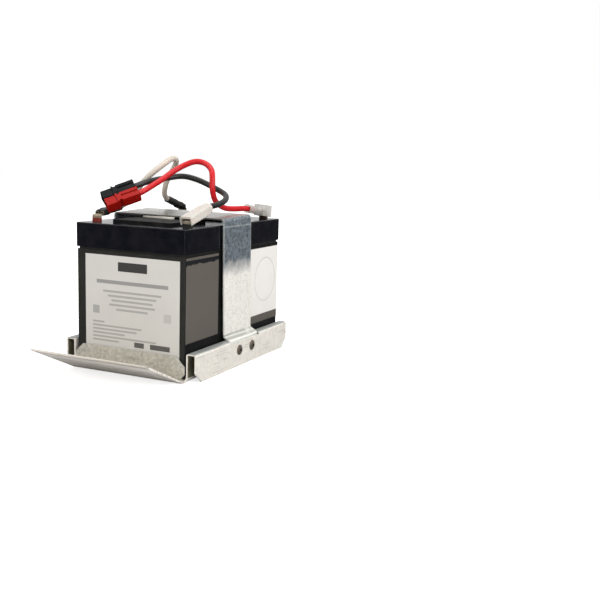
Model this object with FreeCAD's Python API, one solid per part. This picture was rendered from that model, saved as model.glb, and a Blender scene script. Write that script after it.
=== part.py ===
"""Battery cartridge for a small uninterruptible power supply.

Two 12 V sealed lead-acid blocks stand back to back on a folded steel tray.
A riveted steel hoop holds them down, and three leads join them in series and
end in a red and black pair of power connector housings.

Frame, in millimetres: the origin is the centre of the tray's underside, below
the seam between the two blocks. +X is to the right, +Y goes to the rear, away
from the pull lip, and +Z is up.
"""
import FreeCAD
import Part
import math
import os

Vector = FreeCAD.Vector

# ---------------------------------------------------------------- driving sizes
# Sealed block
BLOCK_W = 90.0            # across X, over the lid
BLOCK_D = 70.0            # along Y, over the lid
BLOCK_H = 101.0           # base to lid top
LID_H = 17.0              # glued lid, height
LID_EDGE_R = 1.2          # lid's upright and top edges
WALL_SET_IN = 0.35        # container face behind the lid face
GROOVE_H = 1.6            # shadow groove under the lid
GROOVE_DEPTH = 0.9
BOX_EDGE_R = 1.5          # container's upright edges
VENT_W = 49.0             # vent cover plate on the lid
VENT_D = 46.0
VENT_H = 2.2
VENT_SLOT_W = 1.2         # gas slots between vent cover and lid
VENT_FROM_TERMINAL_EDGE = 14.0

# Terminals
TERMINAL_EDGE = 7.5       # from the lid's side
TERMINAL_INSET = 13.9     # from the lid's terminal edge
SEAL_W = 6.8              # coloured base round each tab
SEAL_D = 2.8
SEAL_H = 2.5
TAB_W = 6.35              # quick-connect blade
TAB_FOOT_W = 7.6          # upright above the seal
TAB_STEM_W = 4.2          # upright inside the seal
TAB_T = 0.8
TAB_RISE = 4.6            # lid top to the bend
TAB_RUN = 6.9             # sloping blade beyond the bend
TAB_SHOULDER = 0.55       # bend to where the foot narrows to the blade

# Folded steel
TRAY_T = 1.2              # outer tray sheet
WALL_GAP = 1.3            # block to the rail's inner wall
RAIL_W = 7.7              # over both walls of one rail
RAIL_H = 20.2
RAIL_AHEAD = 0.2          # rails' front ends ahead of the block
RAIL_SHORT = 1.0          # rails' rear ends short of the block's rear face
BASE_BEND_R = 2.8         # inside radius where base meets wall
RAIL_BEND_R = 0.8         # inside radius of the rail's upper bends
RAIL_CUT_Y = 8.0          # corner cut at each end of the outer wall
RAIL_CUT_Z = 7.0
LIP_OVER = 1.0            # pull lip beyond each side of the block
LIP_BEND = 3.4            # bend line ahead of the block
LIP_REACH = 46.8          # tip ahead of the block
LIP_RISE = 21.6           # tip's upper edge above the underside
CRADLE_T = 1.0            # inner cradle sheet
CRADLE_EDGE_IN = 0.5      # cradle's edge inside the start of the base bend
CRADLE_BEND_R = 0.8
FLANGE_EDGE_IN = 0.9      # end flange's edge inside the inner wall
FLANGE_H = 17.4
FLANGE_CUT = 6.7          # corner cut
FLANGE_GAP = 0.4          # block to flange

# Hold-down hoop
HOOP_T = 1.0
HOOP_W = 40.4
HOOP_GAP = 1.2            # lid side to leg
HOOP_RISE = 5.4           # lid top to the hoop's upper face at mid width
HOOP_R = 1.6              # inside radius of the two upper bends
HOOP_JOG_TOP = 22.9       # leg starts to step out here
HOOP_JOG_LOW = 19.6       # step meets the foot here
HOOP_FOOT_LOW = 5.0       # lower edge of the foot
HOOP_JOG_R = 1.4
HOOP_LEAN = 2.0           # degrees, the hoop leans towards the lip
NOTCH_PLAY = 1.6          # free length at each side of the foot
NOTCH_SINK = 2.0          # notch depth below the rail's top face
NOTCH_WALL_PLAY = 0.5     # flange left beside the inner wall

# Blind rivets
RIVET_PITCH = 19.2
RIVET_Z = 12.0
RIVET_HEAD_D = 7.6
RIVET_HEAD_H = 1.3
RIVET_SHANK_D = 4.0
RIVET_HOLE_PLAY = 0.05
RIVET_TAIL_D = 5.6
RIVET_TAIL_L = 2.4
RIVET_MANDREL_D = 2.2
RIVET_MANDREL_SINK = 1.0
RIVET_RIM = 0.3           # head's rim and tail's bevel

# Labels
LABEL_T = 0.2
FRONT_LABEL = (8.0, 4.5, 10.0, 81.8)         # in from the left and right sides, z0, z1
FRONT_PANEL = (1.2, 44.0, 25.8, 84.0)        # from the terminal face, z0, z1
REAR_PANEL = (1.4, 50.0, 24.0, 30.0)
REAR_LABEL = (1.4, 50.0, 30.0, 82.0)

# Leads and their fittings
LEAD_D = 4.2
CLIP_W = 7.4              # quick-connect receptacle over its curls
CLIP_H = 2.5
CLIP_T = 0.4
CLIP_L = 6.6
CLIP_NECK_L = 3.6
CLIP_BARREL_D = 3.8
CLIP_PLAY = 0.05
SLEEVE_PLAY = 0.12        # free space left inside every cover
COVER_W = 9.3             # straight nylon insulator
COVER_H = 6.4
COVER_UP = 0.45           # insulator's middle above the blade's
COVER_L = 27.4
COVER_OVERHANG = 3.0      # insulator's mouth ahead of the receptacle's
COVER_TAIL_L = 1.6
CLEAR_T = 0.45            # clear cover
CLEAR_W = 9.0
CLEAR_H = 9.0
CLEAR_BOX_L = 13.45
CLEAR_OVERHANG = 6.3
CLEAR_DROP = 2.55         # blade's mid plane to the cover's lower edge
CLEAR_NECK_L = 18.3
CLEAR_NECK_D = 6.4
CLEAR_MOUTH_D = 7.0       # neck's free end
BOOT_W = 8.9              # shrink boot over its receptacle
BOOT_H = 4.5
BOOT_UP = 0.55
BOOT_END = 7.6            # receptacle's mouth to the boot's taper
BOOT_TAPER_L = 3.0
BOOT_NECK_L = 13.8
BOOT_NECK_D = 5.1

# Power connector pair
PLUG_L = 24.6
PLUG_W = 7.9              # square section of one housing
NOSE_L = 8.0              # mating nose
NOSE_SIDE_STEP = 0.35
NOSE_TOP_STEP = 0.9
NOSE_LOW_DROP = 0.8
COLLAR_L = 0.9
MOUTH_W = 5.6
MOUTH_H = 4.4
MOUTH_DEPTH = 7.6
BORE_D = 5.4              # wire entry bore
RIB_W = 3.0               # dovetail rib over its widest part
RIB_ROOT_W = 2.3
RIB_H = 0.7
RIB_PLAY = 0.08
RIB_START = 11.8
PIN_D = 2.5
PIN_HOLE_PLAY = 0.04
PIN_X = 10.2              # pin centre from the nose
PIN_T = 0.4
PIN_L = 6.2
BLADE_W = 4.6             # contact
BLADE_T = 0.9
BLADE_L = 7.0
CONTACT_BARREL_D = 4.4
CONTACT_BARREL_L = 6.6
CONTACT_BACK = 3.0        # barrel's mouth inside the housing's rear face
SPRING_W = 3.6
SPRING_T = 0.35
SPRING_L = 6.0
PAIR_IN = 3.6             # pair's nose, from the front positive terminal
PAIR_BACK = 3.7
PAIR_UP = 14.0            # pair's nose above the lid
PAIR_TURN = (47.8, -20.1, 39.8)              # yaw, pitch, roll in degrees

# ---------------------------------------------------------------- derived places
FLOOR_Z = TRAY_T + CRADLE_T                  # the blocks stand here
LID_TOP = FLOOR_Z + BLOCK_H
LID_LOW = LID_TOP - LID_H
HOOP_TOP = LID_TOP + HOOP_RISE
WALL_IN = BLOCK_W / 2 + WALL_GAP             # inner wall, face to the block
WALL_OUT = WALL_IN + TRAY_T
RAIL_OUT = WALL_IN + RAIL_W
RAIL_FRONT = BLOCK_D + RAIL_AHEAD
RAIL_REAR = BLOCK_D - RAIL_SHORT
LIP_W = BLOCK_W + 2 * LIP_OVER
LIP_ROOT = BLOCK_D + LIP_BEND
LIP_TIP = BLOCK_D + LIP_REACH
HOOP_IN = BLOCK_W / 2 + HOOP_GAP
FOOT_OUT = RAIL_OUT - TRAY_T                 # foot lies on the outer wall's inside
FLANGE_W = 2 * (WALL_IN - FLANGE_EDGE_IN)
CRADLE_W = 2 * (WALL_IN - BASE_BEND_R - CRADLE_EDGE_IN)
TERMINAL_X = BLOCK_W / 2 - TERMINAL_EDGE
TERMINAL_Y = BLOCK_D - TERMINAL_INSET
LEAD_R = LEAD_D / 2
PAIR_NOSE = Vector(PAIR_IN - TERMINAL_X, PAIR_BACK - TERMINAL_Y, LID_TOP + PAIR_UP)


# ---------------------------------------------------------------- helpers
def at_xz(y):
    """Return a map from (x, z) to a point in the plane Y = y."""
    return lambda u, v: Vector(u, y, v)


def at_yz(x):
    """Return a map from (y, z) to a point in the plane X = x."""
    return lambda u, v: Vector(x, u, v)


def box(x0, x1, y0, y1, z0, z1):
    """Box between two corners."""
    return Part.makeBox(x1 - x0, y1 - y0, z1 - z0, Vector(x0, y0, z0))


def polygon_prism(points, place, direction):
    """Prism over a closed outline of (u, v) points."""
    corners = [place(u, v) for u, v in points]
    return Part.Face(Part.makePolygon(corners + corners[:1])).extrude(direction)


def strip_side(points, half, inside_r, side, place):
    """Edges along one side of a folded strip whose mid line is given.

    side is +1 for the left side of the line and -1 for the right. Each corner
    becomes an arc whose inner radius is inside_r.
    """
    mid_r = inside_r + half
    mids = [FreeCAD.Vector(u, v, 0) for u, v in points]
    runs = [(b - a).normalize() for a, b in zip(mids, mids[1:])]
    lefts = [Vector(-d.y, d.x, 0) for d in runs]
    put = lambda p: place(p.x, p.y)
    edges = []
    start = mids[0] + lefts[0] * (side * half)
    for corner, d0, d1, n0, n1 in zip(mids[1:-1], runs, runs[1:], lefts, lefts[1:]):
        turn = math.copysign(1.0, d0.x * d1.y - d0.y * d1.x)
        reach = mid_r * math.tan(d0.getAngle(d1) / 2)
        centre = corner - d0 * reach + n0 * (turn * mid_r)
        radius = mid_r - side * turn * half
        first = centre - n0 * (turn * radius)
        middle = centre - (n0 + n1).normalize() * (turn * radius)
        last = centre - n1 * (turn * radius)
        edges.append(Part.LineSegment(put(start), put(first)).toShape())
        edges.append(Part.Arc(put(first), put(middle), put(last)).toShape())
        start = last
    end = mids[-1] + lefts[-1] * (side * half)
    edges.append(Part.LineSegment(put(start), put(end)).toShape())
    return edges, put(mids[0] + lefts[0] * (side * half)), put(end)


def folded_strip(points, thick, inside_r, place, direction):
    """Sheet folded along a mid line, extruded across its width."""
    left, left_start, left_end = strip_side(points, thick / 2, inside_r, 1, place)
    right, right_start, right_end = strip_side(points, thick / 2, inside_r, -1, place)
    caps = [Part.LineSegment(left_end, right_end).toShape(),
            Part.LineSegment(left_start, right_start).toShape()]
    wire = Part.Wire(Part.__sortEdges__(left + right + caps))
    return Part.Face(wire).extrude(direction)


def rounded_section(width, height, radius, x, up=0.0):
    """Closed rounded rectangle of eight edges, centred at (x, 0, up)."""
    w, h, r = width / 2, height / 2, radius
    k = r * (1 - math.sqrt(0.5))
    corners = [(1, 1), (-1, 1), (-1, -1), (1, -1)]
    edges = []
    for i, (sy, sz) in enumerate(corners):
        side_in = Vector(x, sy * w, up + sz * (h - r))
        side_top = Vector(x, sy * (w - r), up + sz * h)
        mid = Vector(x, sy * (w - k), up + sz * (h - k))
        first, last = (side_in, side_top) if i % 2 == 0 else (side_top, side_in)
        edges.append(Part.Arc(first, mid, last).toShape())
        ny, nz = corners[(i + 1) % 4]
        along_top = Vector(x, ny * (w - r), up + nz * h)
        down_side = Vector(x, ny * w, up + nz * (h - r))
        nxt = along_top if i % 2 == 0 else down_side
        edges.append(Part.LineSegment(last, nxt).toShape())
    return Part.Wire(edges)


def tube_loft(sections):
    """Solid through a row of (width, height, radius, x, up) sections."""
    return Part.makeLoft([rounded_section(*s) for s in sections], True, True)


def soften(shape, radius, pick):
    """Fillet the edges that pick accepts."""
    return shape.makeFillet(radius, [e for e in shape.Edges if pick(e)])


def is_upright(edge):
    """True for a straight edge along Z."""
    a, b = edge.Vertexes[0].Point, edge.Vertexes[-1].Point
    return abs(a.x - b.x) < 1e-6 and abs(a.y - b.y) < 1e-6


def lies_at(edge, z):
    """True when the whole edge lies at height z."""
    return abs(edge.BoundBox.ZMin - z) < 1e-6 and abs(edge.BoundBox.ZMax - z) < 1e-6


def moved(shape, base, yaw=0.0, pitch=0.0, roll=0.0):
    """Copy of a shape turned by yaw, pitch and roll, then put at base."""
    out = shape.copy()
    out.Placement = FreeCAD.Placement(base, FreeCAD.Rotation(yaw, pitch, roll)) * out.Placement
    return out


def group(shapes):
    """Several separate solids as one node."""
    return Part.makeCompound(shapes)


# ---------------------------------------------------------------- folded steel
def rail_notches():
    """Cuts in both rail tops that let the hoop's feet through."""
    half = HOOP_W / 2 + NOTCH_PLAY
    low = RAIL_H - NOTCH_SINK
    right = box(WALL_OUT + NOTCH_WALL_PLAY, RAIL_OUT + 1, -half, half, low, RAIL_H + 1)
    return [right, right.mirror(Vector(0, 0, 0), Vector(1, 0, 0))]


def rail_corner_cuts():
    """Sloping cuts at the lower ends of both outer walls."""
    cuts = []
    for end, inward in ((-RAIL_FRONT, 1), (RAIL_REAR, -1)):
        corner = [(end - inward, -1), (end - inward, RAIL_CUT_Z),
                  (end, RAIL_CUT_Z), (end + inward * RAIL_CUT_Y, 0), (end + inward * RAIL_CUT_Y, -1)]
        right = polygon_prism(corner, at_yz(FOOT_OUT - 1), Vector(TRAY_T + 2, 0, 0))
        cuts += [right, right.mirror(Vector(0, 0, 0), Vector(1, 0, 0))]
    return cuts


def rivet_axes():
    """Y of each rivet on one side."""
    return [-RIVET_PITCH / 2, RIVET_PITCH / 2]


def rivet_holes(diameter):
    """Cylinders through both rails, one at each rivet."""
    reach = RAIL_OUT + RIVET_HEAD_H
    return [Part.makeCylinder(diameter / 2, 2 * reach, Vector(-reach, y, RIVET_Z), Vector(1, 0, 0))
            for y in rivet_axes()]


def rail_tray():
    """Outer tray: base, two inverted channel rails and the pull lip."""
    mid = TRAY_T / 2
    half = [(RAIL_OUT - mid, 0.0), (RAIL_OUT - mid, RAIL_H - mid), (WALL_IN + mid, RAIL_H - mid),
            (WALL_IN + mid, mid)]
    left = [(-x, z) for x, z in half]
    length = RAIL_FRONT + RAIL_REAR
    plate = box(-WALL_IN + BASE_BEND_R, WALL_IN - BASE_BEND_R, -RAIL_FRONT, RAIL_REAR, 0, TRAY_T)
    tray = plate
    for side in (half, left):
        sign = math.copysign(1.0, side[0][0])
        foot = [(sign * (WALL_IN + mid), mid), (sign * (WALL_IN - BASE_BEND_R - 1), mid)]
        upper = folded_strip(side[:3] + [(side[3][0], RAIL_H / 2)], TRAY_T, RAIL_BEND_R,
                             at_xz(-RAIL_FRONT), Vector(0, length, 0))
        lower = folded_strip([(side[3][0], RAIL_H / 2)] + foot, TRAY_T, BASE_BEND_R,
                             at_xz(-RAIL_FRONT), Vector(0, length, 0))
        tray = tray.fuse([upper, lower])
    lip_path = [(-RAIL_FRONT, mid), (-LIP_ROOT, mid), (-LIP_TIP, LIP_RISE - mid)]
    lip = folded_strip(lip_path, TRAY_T, TRAY_T, at_yz(-LIP_W / 2), Vector(LIP_W, 0, 0))
    tail = box(-CRADLE_W / 2, CRADLE_W / 2, RAIL_REAR, BLOCK_D + FLANGE_GAP + CRADLE_T, 0, TRAY_T)
    tray = tray.fuse([lip, tail]).removeSplitter()
    return tray.cut(rail_notches() + rail_corner_cuts() + rivet_holes(RIVET_SHANK_D + 2 * RIVET_HOLE_PLAY))


def cradle_plate():
    """Inner sheet under the blocks, folded up at both ends to stop them."""
    mid = CRADLE_T / 2
    end = BLOCK_D + FLANGE_GAP + mid
    path = [(-end, FLANGE_H), (-end, TRAY_T + mid), (end, TRAY_T + mid), (end, FLANGE_H)]
    sheet = folded_strip(path, CRADLE_T, CRADLE_BEND_R, at_yz(-FLANGE_W / 2), Vector(FLANGE_W, 0, 0))
    wide, narrow, top = FLANGE_W / 2, CRADLE_W / 2, FLANGE_H
    shoulder = TRAY_T + CRADLE_T + CRADLE_BEND_R
    flare = shoulder + wide - narrow
    right = [(narrow, 0), (narrow, shoulder), (wide, flare), (wide, top - FLANGE_CUT),
             (wide - FLANGE_CUT, top)]
    outline = right + [(-x, z) for x, z in reversed(right)]
    return sheet.common(polygon_prism(outline, at_xz(-end - 1), Vector(0, 2 * end + 2, 0)))


def hoop_lean(shape):
    """Lean a shape with the hoop, about its rivets' height."""
    out = shape.copy()
    out.rotate(Vector(0, 0, RIVET_Z), Vector(1, 0, 0), HOOP_LEAN)
    return out


def hoop_strap():
    """Steel hoop over both blocks, stepped out at its feet into the rails."""
    mid = HOOP_T / 2
    leg, foot, top = HOOP_IN + mid, FOOT_OUT - mid, HOOP_TOP - mid
    lower = [(foot, HOOP_FOOT_LOW), (foot, HOOP_JOG_LOW), (leg, HOOP_JOG_TOP), (leg, LID_LOW)]
    upper = [(leg, LID_LOW), (leg, top), (-leg, top), (-leg, LID_LOW)]
    start, across = at_xz(-HOOP_W / 2), Vector(0, HOOP_W, 0)
    right = folded_strip(lower, HOOP_T, HOOP_JOG_R, start, across)
    hoop = folded_strip(upper, HOOP_T, HOOP_R, start, across)
    hoop = hoop.fuse([right, right.mirror(Vector(0, 0, 0), Vector(1, 0, 0))]).removeSplitter()
    return hoop_lean(hoop).cut(rivet_holes(RIVET_SHANK_D + 2 * RIVET_HOLE_PLAY))


def blind_rivet(y):
    """One set blind rivet through the outer wall and the hoop's foot."""
    shank_r, head_r = RIVET_SHANK_D / 2, RIVET_HEAD_D / 2
    tail_r, mandrel_r = RIVET_TAIL_D / 2, RIVET_MANDREL_D / 2
    top = RAIL_OUT + RIVET_HEAD_H
    grip_end = RAIL_OUT - TRAY_T - HOOP_T
    rim = Vector(RAIL_OUT + RIVET_RIM, 0, head_r)
    crown = Vector(top, 0, mandrel_r)
    dome = Part.Arc(crown, Vector(RAIL_OUT + RIVET_HEAD_H * 0.78, 0, head_r * 0.7), rim).toShape()
    tail = grip_end - RIVET_TAIL_L
    corners = [rim, Vector(RAIL_OUT, 0, head_r), Vector(RAIL_OUT, 0, shank_r), Vector(grip_end, 0, shank_r),
               Vector(grip_end, 0, tail_r), Vector(tail + RIVET_RIM, 0, tail_r),
               Vector(tail, 0, tail_r - RIVET_RIM), Vector(tail, 0, 0),
               Vector(top - RIVET_MANDREL_SINK, 0, 0), Vector(top - RIVET_MANDREL_SINK, 0, mandrel_r), crown]
    sides = [Part.LineSegment(a, b).toShape() for a, b in zip(corners, corners[1:])]
    rivet = Part.Face(Part.Wire([dome] + sides)).revolve(Vector(0, 0, 0), Vector(1, 0, 0), 360)
    rivet.translate(Vector(0, y, RIVET_Z))
    return rivet


def rivets(side):
    """Both rivets of one side; side is +1 for the right."""
    right = [blind_rivet(y) for y in rivet_axes()]
    if side > 0:
        return group(right)
    return group([r.mirror(Vector(0, 0, 0), Vector(1, 0, 0)) for r in right])


# ---------------------------------------------------------------- sealed blocks
def turned(shape, rear):
    """Turn a part of the lip-side block half a turn for the rear block."""
    out = shape.copy()
    if rear:
        out.rotate(Vector(0, 0, 0), Vector(0, 0, 1), 180)
    return out


def block_container():
    """Lower box of the lip-side block, grooved just under its lid."""
    w = BLOCK_W / 2 - WALL_SET_IN
    y0, y1 = -BLOCK_D + WALL_SET_IN, -WALL_SET_IN
    body = soften(box(-w, w, y0, y1, FLOOR_Z, LID_LOW), BOX_EDGE_R, is_upright)
    body = soften(body, BOX_EDGE_R / 2, lambda e: lies_at(e, FLOOR_Z))
    ring = box(-w - 1, w + 1, y0 - 1, y1 + 1, LID_LOW - GROOVE_H, LID_LOW)
    g = GROOVE_DEPTH
    core = soften(box(-w + g, w - g, y0 + g, y1 - g, LID_LOW - GROOVE_H, LID_LOW), BOX_EDGE_R, is_upright)
    return body.cut(ring.cut(core))


def block_lid():
    """Glued lid of the lip-side block."""
    w = BLOCK_W / 2
    lid = soften(box(-w, w, -BLOCK_D, 0, LID_LOW, LID_TOP), LID_EDGE_R, is_upright)
    return soften(lid, LID_EDGE_R / 2, lambda e: lies_at(e, LID_TOP))


def vent_cover():
    """Plate over the filler openings, on three low ribs that leave gas slots."""
    y0 = -BLOCK_D + VENT_FROM_TERMINAL_EDGE
    w = VENT_W / 2
    plate = soften(box(-w, w, y0, y0 + VENT_D, LID_TOP, LID_TOP + VENT_H), VENT_SLOT_W, is_upright)
    slots = [box(-w - 1, w + 1, y - VENT_SLOT_W / 2, y + VENT_SLOT_W / 2, LID_TOP, LID_TOP + VENT_H / 2)
             for y in (y0 + VENT_D / 4, y0 + VENT_D * 3 / 4)]
    return plate.cut(slots)


class Terminal:
    """One terminal: its seal, bent tab and the receptacle pushed on it."""

    def __init__(self, x, y, yaw, climb, seat, barrel):
        """Place the terminal.

        yaw is the way the blade points and climb its slope, both in degrees.
        seat is the blade left bare ahead of the receptacle, and barrel the
        length of the receptacle's crimped end.
        """
        self.foot = Vector(x, y, LID_TOP)
        self.yaw = yaw
        self.climb = climb
        self.seat = seat
        self.barrel = barrel
        self.lead_start = CLIP_L + CLIP_NECK_L + barrel

    def tab(self):
        """Blade that rises through the seal and bends back over the lid."""
        slope = math.radians(self.climb)
        path = [(0, 0), (0, TAB_RISE), (TAB_RUN * math.cos(slope), TAB_RISE + TAB_RUN * math.sin(slope))]
        sheet = folded_strip(path, TAB_T, TAB_T / 2, at_xz(-TAB_FOOT_W / 2), Vector(0, TAB_FOOT_W, 0))
        stem = box(-TAB_T, TAB_T, -TAB_STEM_W / 2, TAB_STEM_W / 2, 0, SEAL_H)
        foot = box(-TAB_T, TAB_SHOULDER, -TAB_FOOT_W / 2, TAB_FOOT_W / 2, SEAL_H, TAB_RISE + 2)
        blade = box(TAB_SHOULDER, TAB_RUN + 1, -TAB_W / 2, TAB_W / 2, SEAL_H, 2 * TAB_RUN)
        return moved(sheet.common(stem.fuse([foot, blade])), self.foot, self.yaw)

    def seal(self):
        """Coloured base, open round the tab's stem."""
        block = box(-SEAL_D / 2, SEAL_D / 2, -SEAL_W / 2, SEAL_W / 2, 0, SEAL_H)
        block = soften(block, LID_EDGE_R / 2, is_upright)
        slot = box(-TAB_T / 2, TAB_T / 2, -TAB_STEM_W / 2, TAB_STEM_W / 2, 0, SEAL_H)
        return moved(block.cut(slot), self.foot, self.yaw)

    def place(self):
        """Placement of the receptacle's mouth, X along the blade."""
        turn = FreeCAD.Rotation(self.yaw, -self.climb, 0)
        bend = self.foot + Vector(0, 0, TAB_RISE)
        return FreeCAD.Placement(bend + turn.multVec(Vector(self.seat, 0, 0)), turn)

    def fit(self, shape):
        """Move a shape from the receptacle's frame onto this terminal."""
        out = shape.copy()
        out.Placement = self.place() * out.Placement
        return out

    def lead_point(self, beyond):
        """Point on the lead's axis, beyond the receptacle's crimped end."""
        return self.place().multVec(Vector(self.lead_start + beyond, 0, LEAD_AXIS_UP))


# ---------------------------------------------------------------- lead fittings
# Every fitting is made with the receptacle's mouth at X = 0 and the blade's
# mid plane at Z = 0.
CLIP_LOW = -TAB_T / 2 - CLIP_PLAY - CLIP_T
LEAD_AXIS_UP = CLIP_LOW + CLIP_BARREL_D / 2


def clip(barrel_length):
    """Quick-connect receptacle: curled channel, neck and crimped barrel."""
    t = CLIP_T
    low = CLIP_LOW + t / 2
    high = low + CLIP_H
    side = CLIP_W / 2 - t / 2
    tip = TAB_T / 2 + CLIP_PLAY + t / 2
    path = [(-side * 0.30, tip + 0.1), (-side * 0.36, high), (-side, high), (-side, low),
            (side, low), (side, high), (side * 0.36, high), (side * 0.30, tip + 0.1)]
    curl = folded_strip(path, t, t / 2, at_yz(0), Vector(CLIP_L, 0, 0))
    neck_end = CLIP_L + CLIP_NECK_L
    half = CLIP_BARREL_D / 2
    floor = box(CLIP_L - t, neck_end, -half, half, CLIP_LOW, CLIP_LOW + t)
    cheeks = [box(CLIP_L - t, neck_end, y, y + t, CLIP_LOW, CLIP_LOW + half) for y in (-half, half - t)]
    barrel = Part.makeCylinder(half, barrel_length, Vector(neck_end, 0, LEAD_AXIS_UP), Vector(1, 0, 0))
    return curl.fuse([floor] + cheeks + [barrel]).removeSplitter()


def clip_room(ahead):
    """Space that a cover leaves free round the receptacle, the tab and the lead."""
    p = SLEEVE_PLAY
    low, high = CLIP_LOW - p, CLIP_LOW + CLIP_H + CLIP_T + p
    half = CLIP_W / 2 + p
    room = box(-ahead, CLIP_L + p / 2, -half, half, low, high)
    neck_half = CLIP_BARREL_D / 2 + p
    neck = box(CLIP_L, CLIP_L + CLIP_NECK_L, -neck_half, neck_half, low, CLIP_LOW + neck_half)
    bore_start = Vector(CLIP_L + CLIP_NECK_L - p, 0, LEAD_AXIS_UP)
    bore = Part.makeCylinder(LEAD_R + p, COVER_L + BOOT_NECK_L, bore_start, Vector(1, 0, 0))
    return [room, neck, bore]


def tab_slot(ahead, end, depth):
    """Slot in a cover's underside that the tab's upright stands in."""
    half = TAB_FOOT_W / 2 + SLEEVE_PLAY
    return box(-ahead, end, -half, half, -depth, TAB_T)


def nylon_cover():
    """Straight insulator, open at the blade, with a rounded tail for the lead."""
    end = COVER_L - COVER_TAIL_L
    shape = tube_loft([(COVER_W, COVER_H, 1.2, 0), (COVER_W, COVER_H, 1.2, end - 2.4),
                       (COVER_W - 0.6, COVER_H - 0.3, 2.2, end),
                       (COVER_W - 0.4, COVER_H + 1.0, 3.2, COVER_L)])
    shape.translate(Vector(-COVER_OVERHANG, 0, COVER_UP))
    return shape.cut(clip_room(COVER_OVERHANG + 1) + [tab_slot(COVER_OVERHANG + 1, 0.4, COVER_H)])


def clear_cover():
    """Clear boxy cover, open underneath, with a flared neck for the lead."""
    w, t = CLEAR_W / 2, CLEAR_T
    low, high = -CLEAR_DROP, CLEAR_H - CLEAR_DROP
    x0 = -CLEAR_OVERHANG
    x1 = x0 + CLEAR_BOX_L
    shell = soften(box(x0, x1, -w, w, low, high), t, lambda e: not lies_at(e, low))
    hollow = box(x0 + t, x1 - t, -w + t, w - t, low - 1, high - t)
    root, mouth, along = CLEAR_NECK_D / 2, CLEAR_MOUTH_D / 2, Vector(1, 0, 0)
    axis = Vector(x1 - t, 0, LEAD_AXIS_UP)
    neck = Part.makeCone(root, mouth, CLEAR_NECK_L + t, axis, along)
    throat = Part.makeCone(root - t, mouth - t, CLEAR_NECK_L + 2 * t, axis - along * (t / 2), along)
    return shell.fuse(neck).cut([hollow, throat])


def shrink_boot(start):
    """Shrink sleeve over a receptacle, necked down onto its lead.

    start is the sleeve's edge, measured from the receptacle's mouth.
    """
    end = BOOT_END + BOOT_TAPER_L
    neck_r = BOOT_NECK_D * 0.45
    waist = ((BOOT_W + BOOT_NECK_D) / 2, (BOOT_H + BOOT_NECK_D) / 2, 2.0, BOOT_END + BOOT_TAPER_L / 2,
             (BOOT_UP + LEAD_AXIS_UP) / 2)
    shape = tube_loft([(BOOT_W - 0.6, BOOT_H - 0.4, 1.5, start, BOOT_UP),
                       (BOOT_W, BOOT_H, 1.5, start + 1.2, BOOT_UP), (BOOT_W, BOOT_H, 1.5, BOOT_END, BOOT_UP),
                       waist, (BOOT_NECK_D, BOOT_NECK_D, neck_r, end, LEAD_AXIS_UP),
                       (BOOT_NECK_D, BOOT_NECK_D, neck_r, end + BOOT_NECK_L, LEAD_AXIS_UP)])
    return shape.cut(clip_room(2 - start) + [tab_slot(2 - start, 0, BOOT_H)])


# ---------------------------------------------------------------- connector pair
def dovetail(width_root, width_tip, height, x0, x1):
    """Dovetail bar along X that stands up from the plane Z = 0."""
    root, tip = width_root / 2, width_tip / 2
    outline = [(-root, -0.01), (root, -0.01), (tip, height), (-tip, height)]
    return polygon_prism(outline, at_yz(x0), Vector(x1 - x0, 0, 0))


def plug_housing():
    """One genderless power connector housing, nose at X = 0, centred on X.

    A rib on the right side and underside and a groove on the left side and
    top let housings slide together side by side or one above the other.
    """
    h = PLUG_W / 2
    nose = box(0, NOSE_L, -h + NOSE_SIDE_STEP, h - NOSE_SIDE_STEP, -h - NOSE_LOW_DROP, h - NOSE_TOP_STEP)
    nose = soften(nose, 0.4, lambda e: e.BoundBox.XLength > 1)
    collar = box(NOSE_L, NOSE_L + COLLAR_L, -h, h, -h - NOSE_LOW_DROP, h)
    ramp = polygon_prism([(NOSE_L, -h - NOSE_LOW_DROP), (NOSE_L + COLLAR_L + NOSE_LOW_DROP * 2, -h),
                          (NOSE_L, -h)], lambda u, v: Vector(u, -h, v), Vector(0, 2 * h, 0))
    rear = box(NOSE_L + COLLAR_L, PLUG_L, -h, h, -h, h)
    rear = soften(rear, 0.4, lambda e: e.BoundBox.XLength > 1)
    body = nose.fuse([collar, ramp, rear]).removeSplitter()
    rib = dovetail(RIB_ROOT_W, RIB_W, RIB_H, RIB_START, PLUG_L)
    play = RIB_PLAY
    groove = dovetail(RIB_ROOT_W + 2 * play, RIB_W + 2 * play, RIB_H + play, RIB_START - play, PLUG_L + 1)
    ribs = [moved(rib, Vector(0, 0, -h), 0, 0, 180), moved(rib, Vector(0, -h, 0), 0, 0, 90)]
    grooves = [moved(groove, Vector(0, 0, h), 0, 0, 180), moved(groove, Vector(0, h, 0), 0, 0, 90)]
    mouth = box(-1, MOUTH_DEPTH, -MOUTH_W / 2, MOUTH_W / 2, -MOUTH_H / 2 - NOSE_LOW_DROP / 2,
                MOUTH_H / 2 - NOSE_LOW_DROP / 2)
    bore = Part.makeCylinder(BORE_D / 2, PLUG_L, Vector(MOUTH_DEPTH - 1, 0, 0), Vector(1, 0, 0))
    pin_r, up = PIN_D / 2 + PIN_HOLE_PLAY, Vector(0, 0, 1)
    pins = [Part.makeCylinder(pin_r, 2 * PLUG_W, Vector(PIN_X, y, -PLUG_W), up) for y in (-h, h)]
    return body.fuse(ribs).cut(grooves + [mouth, bore] + pins)


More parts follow.
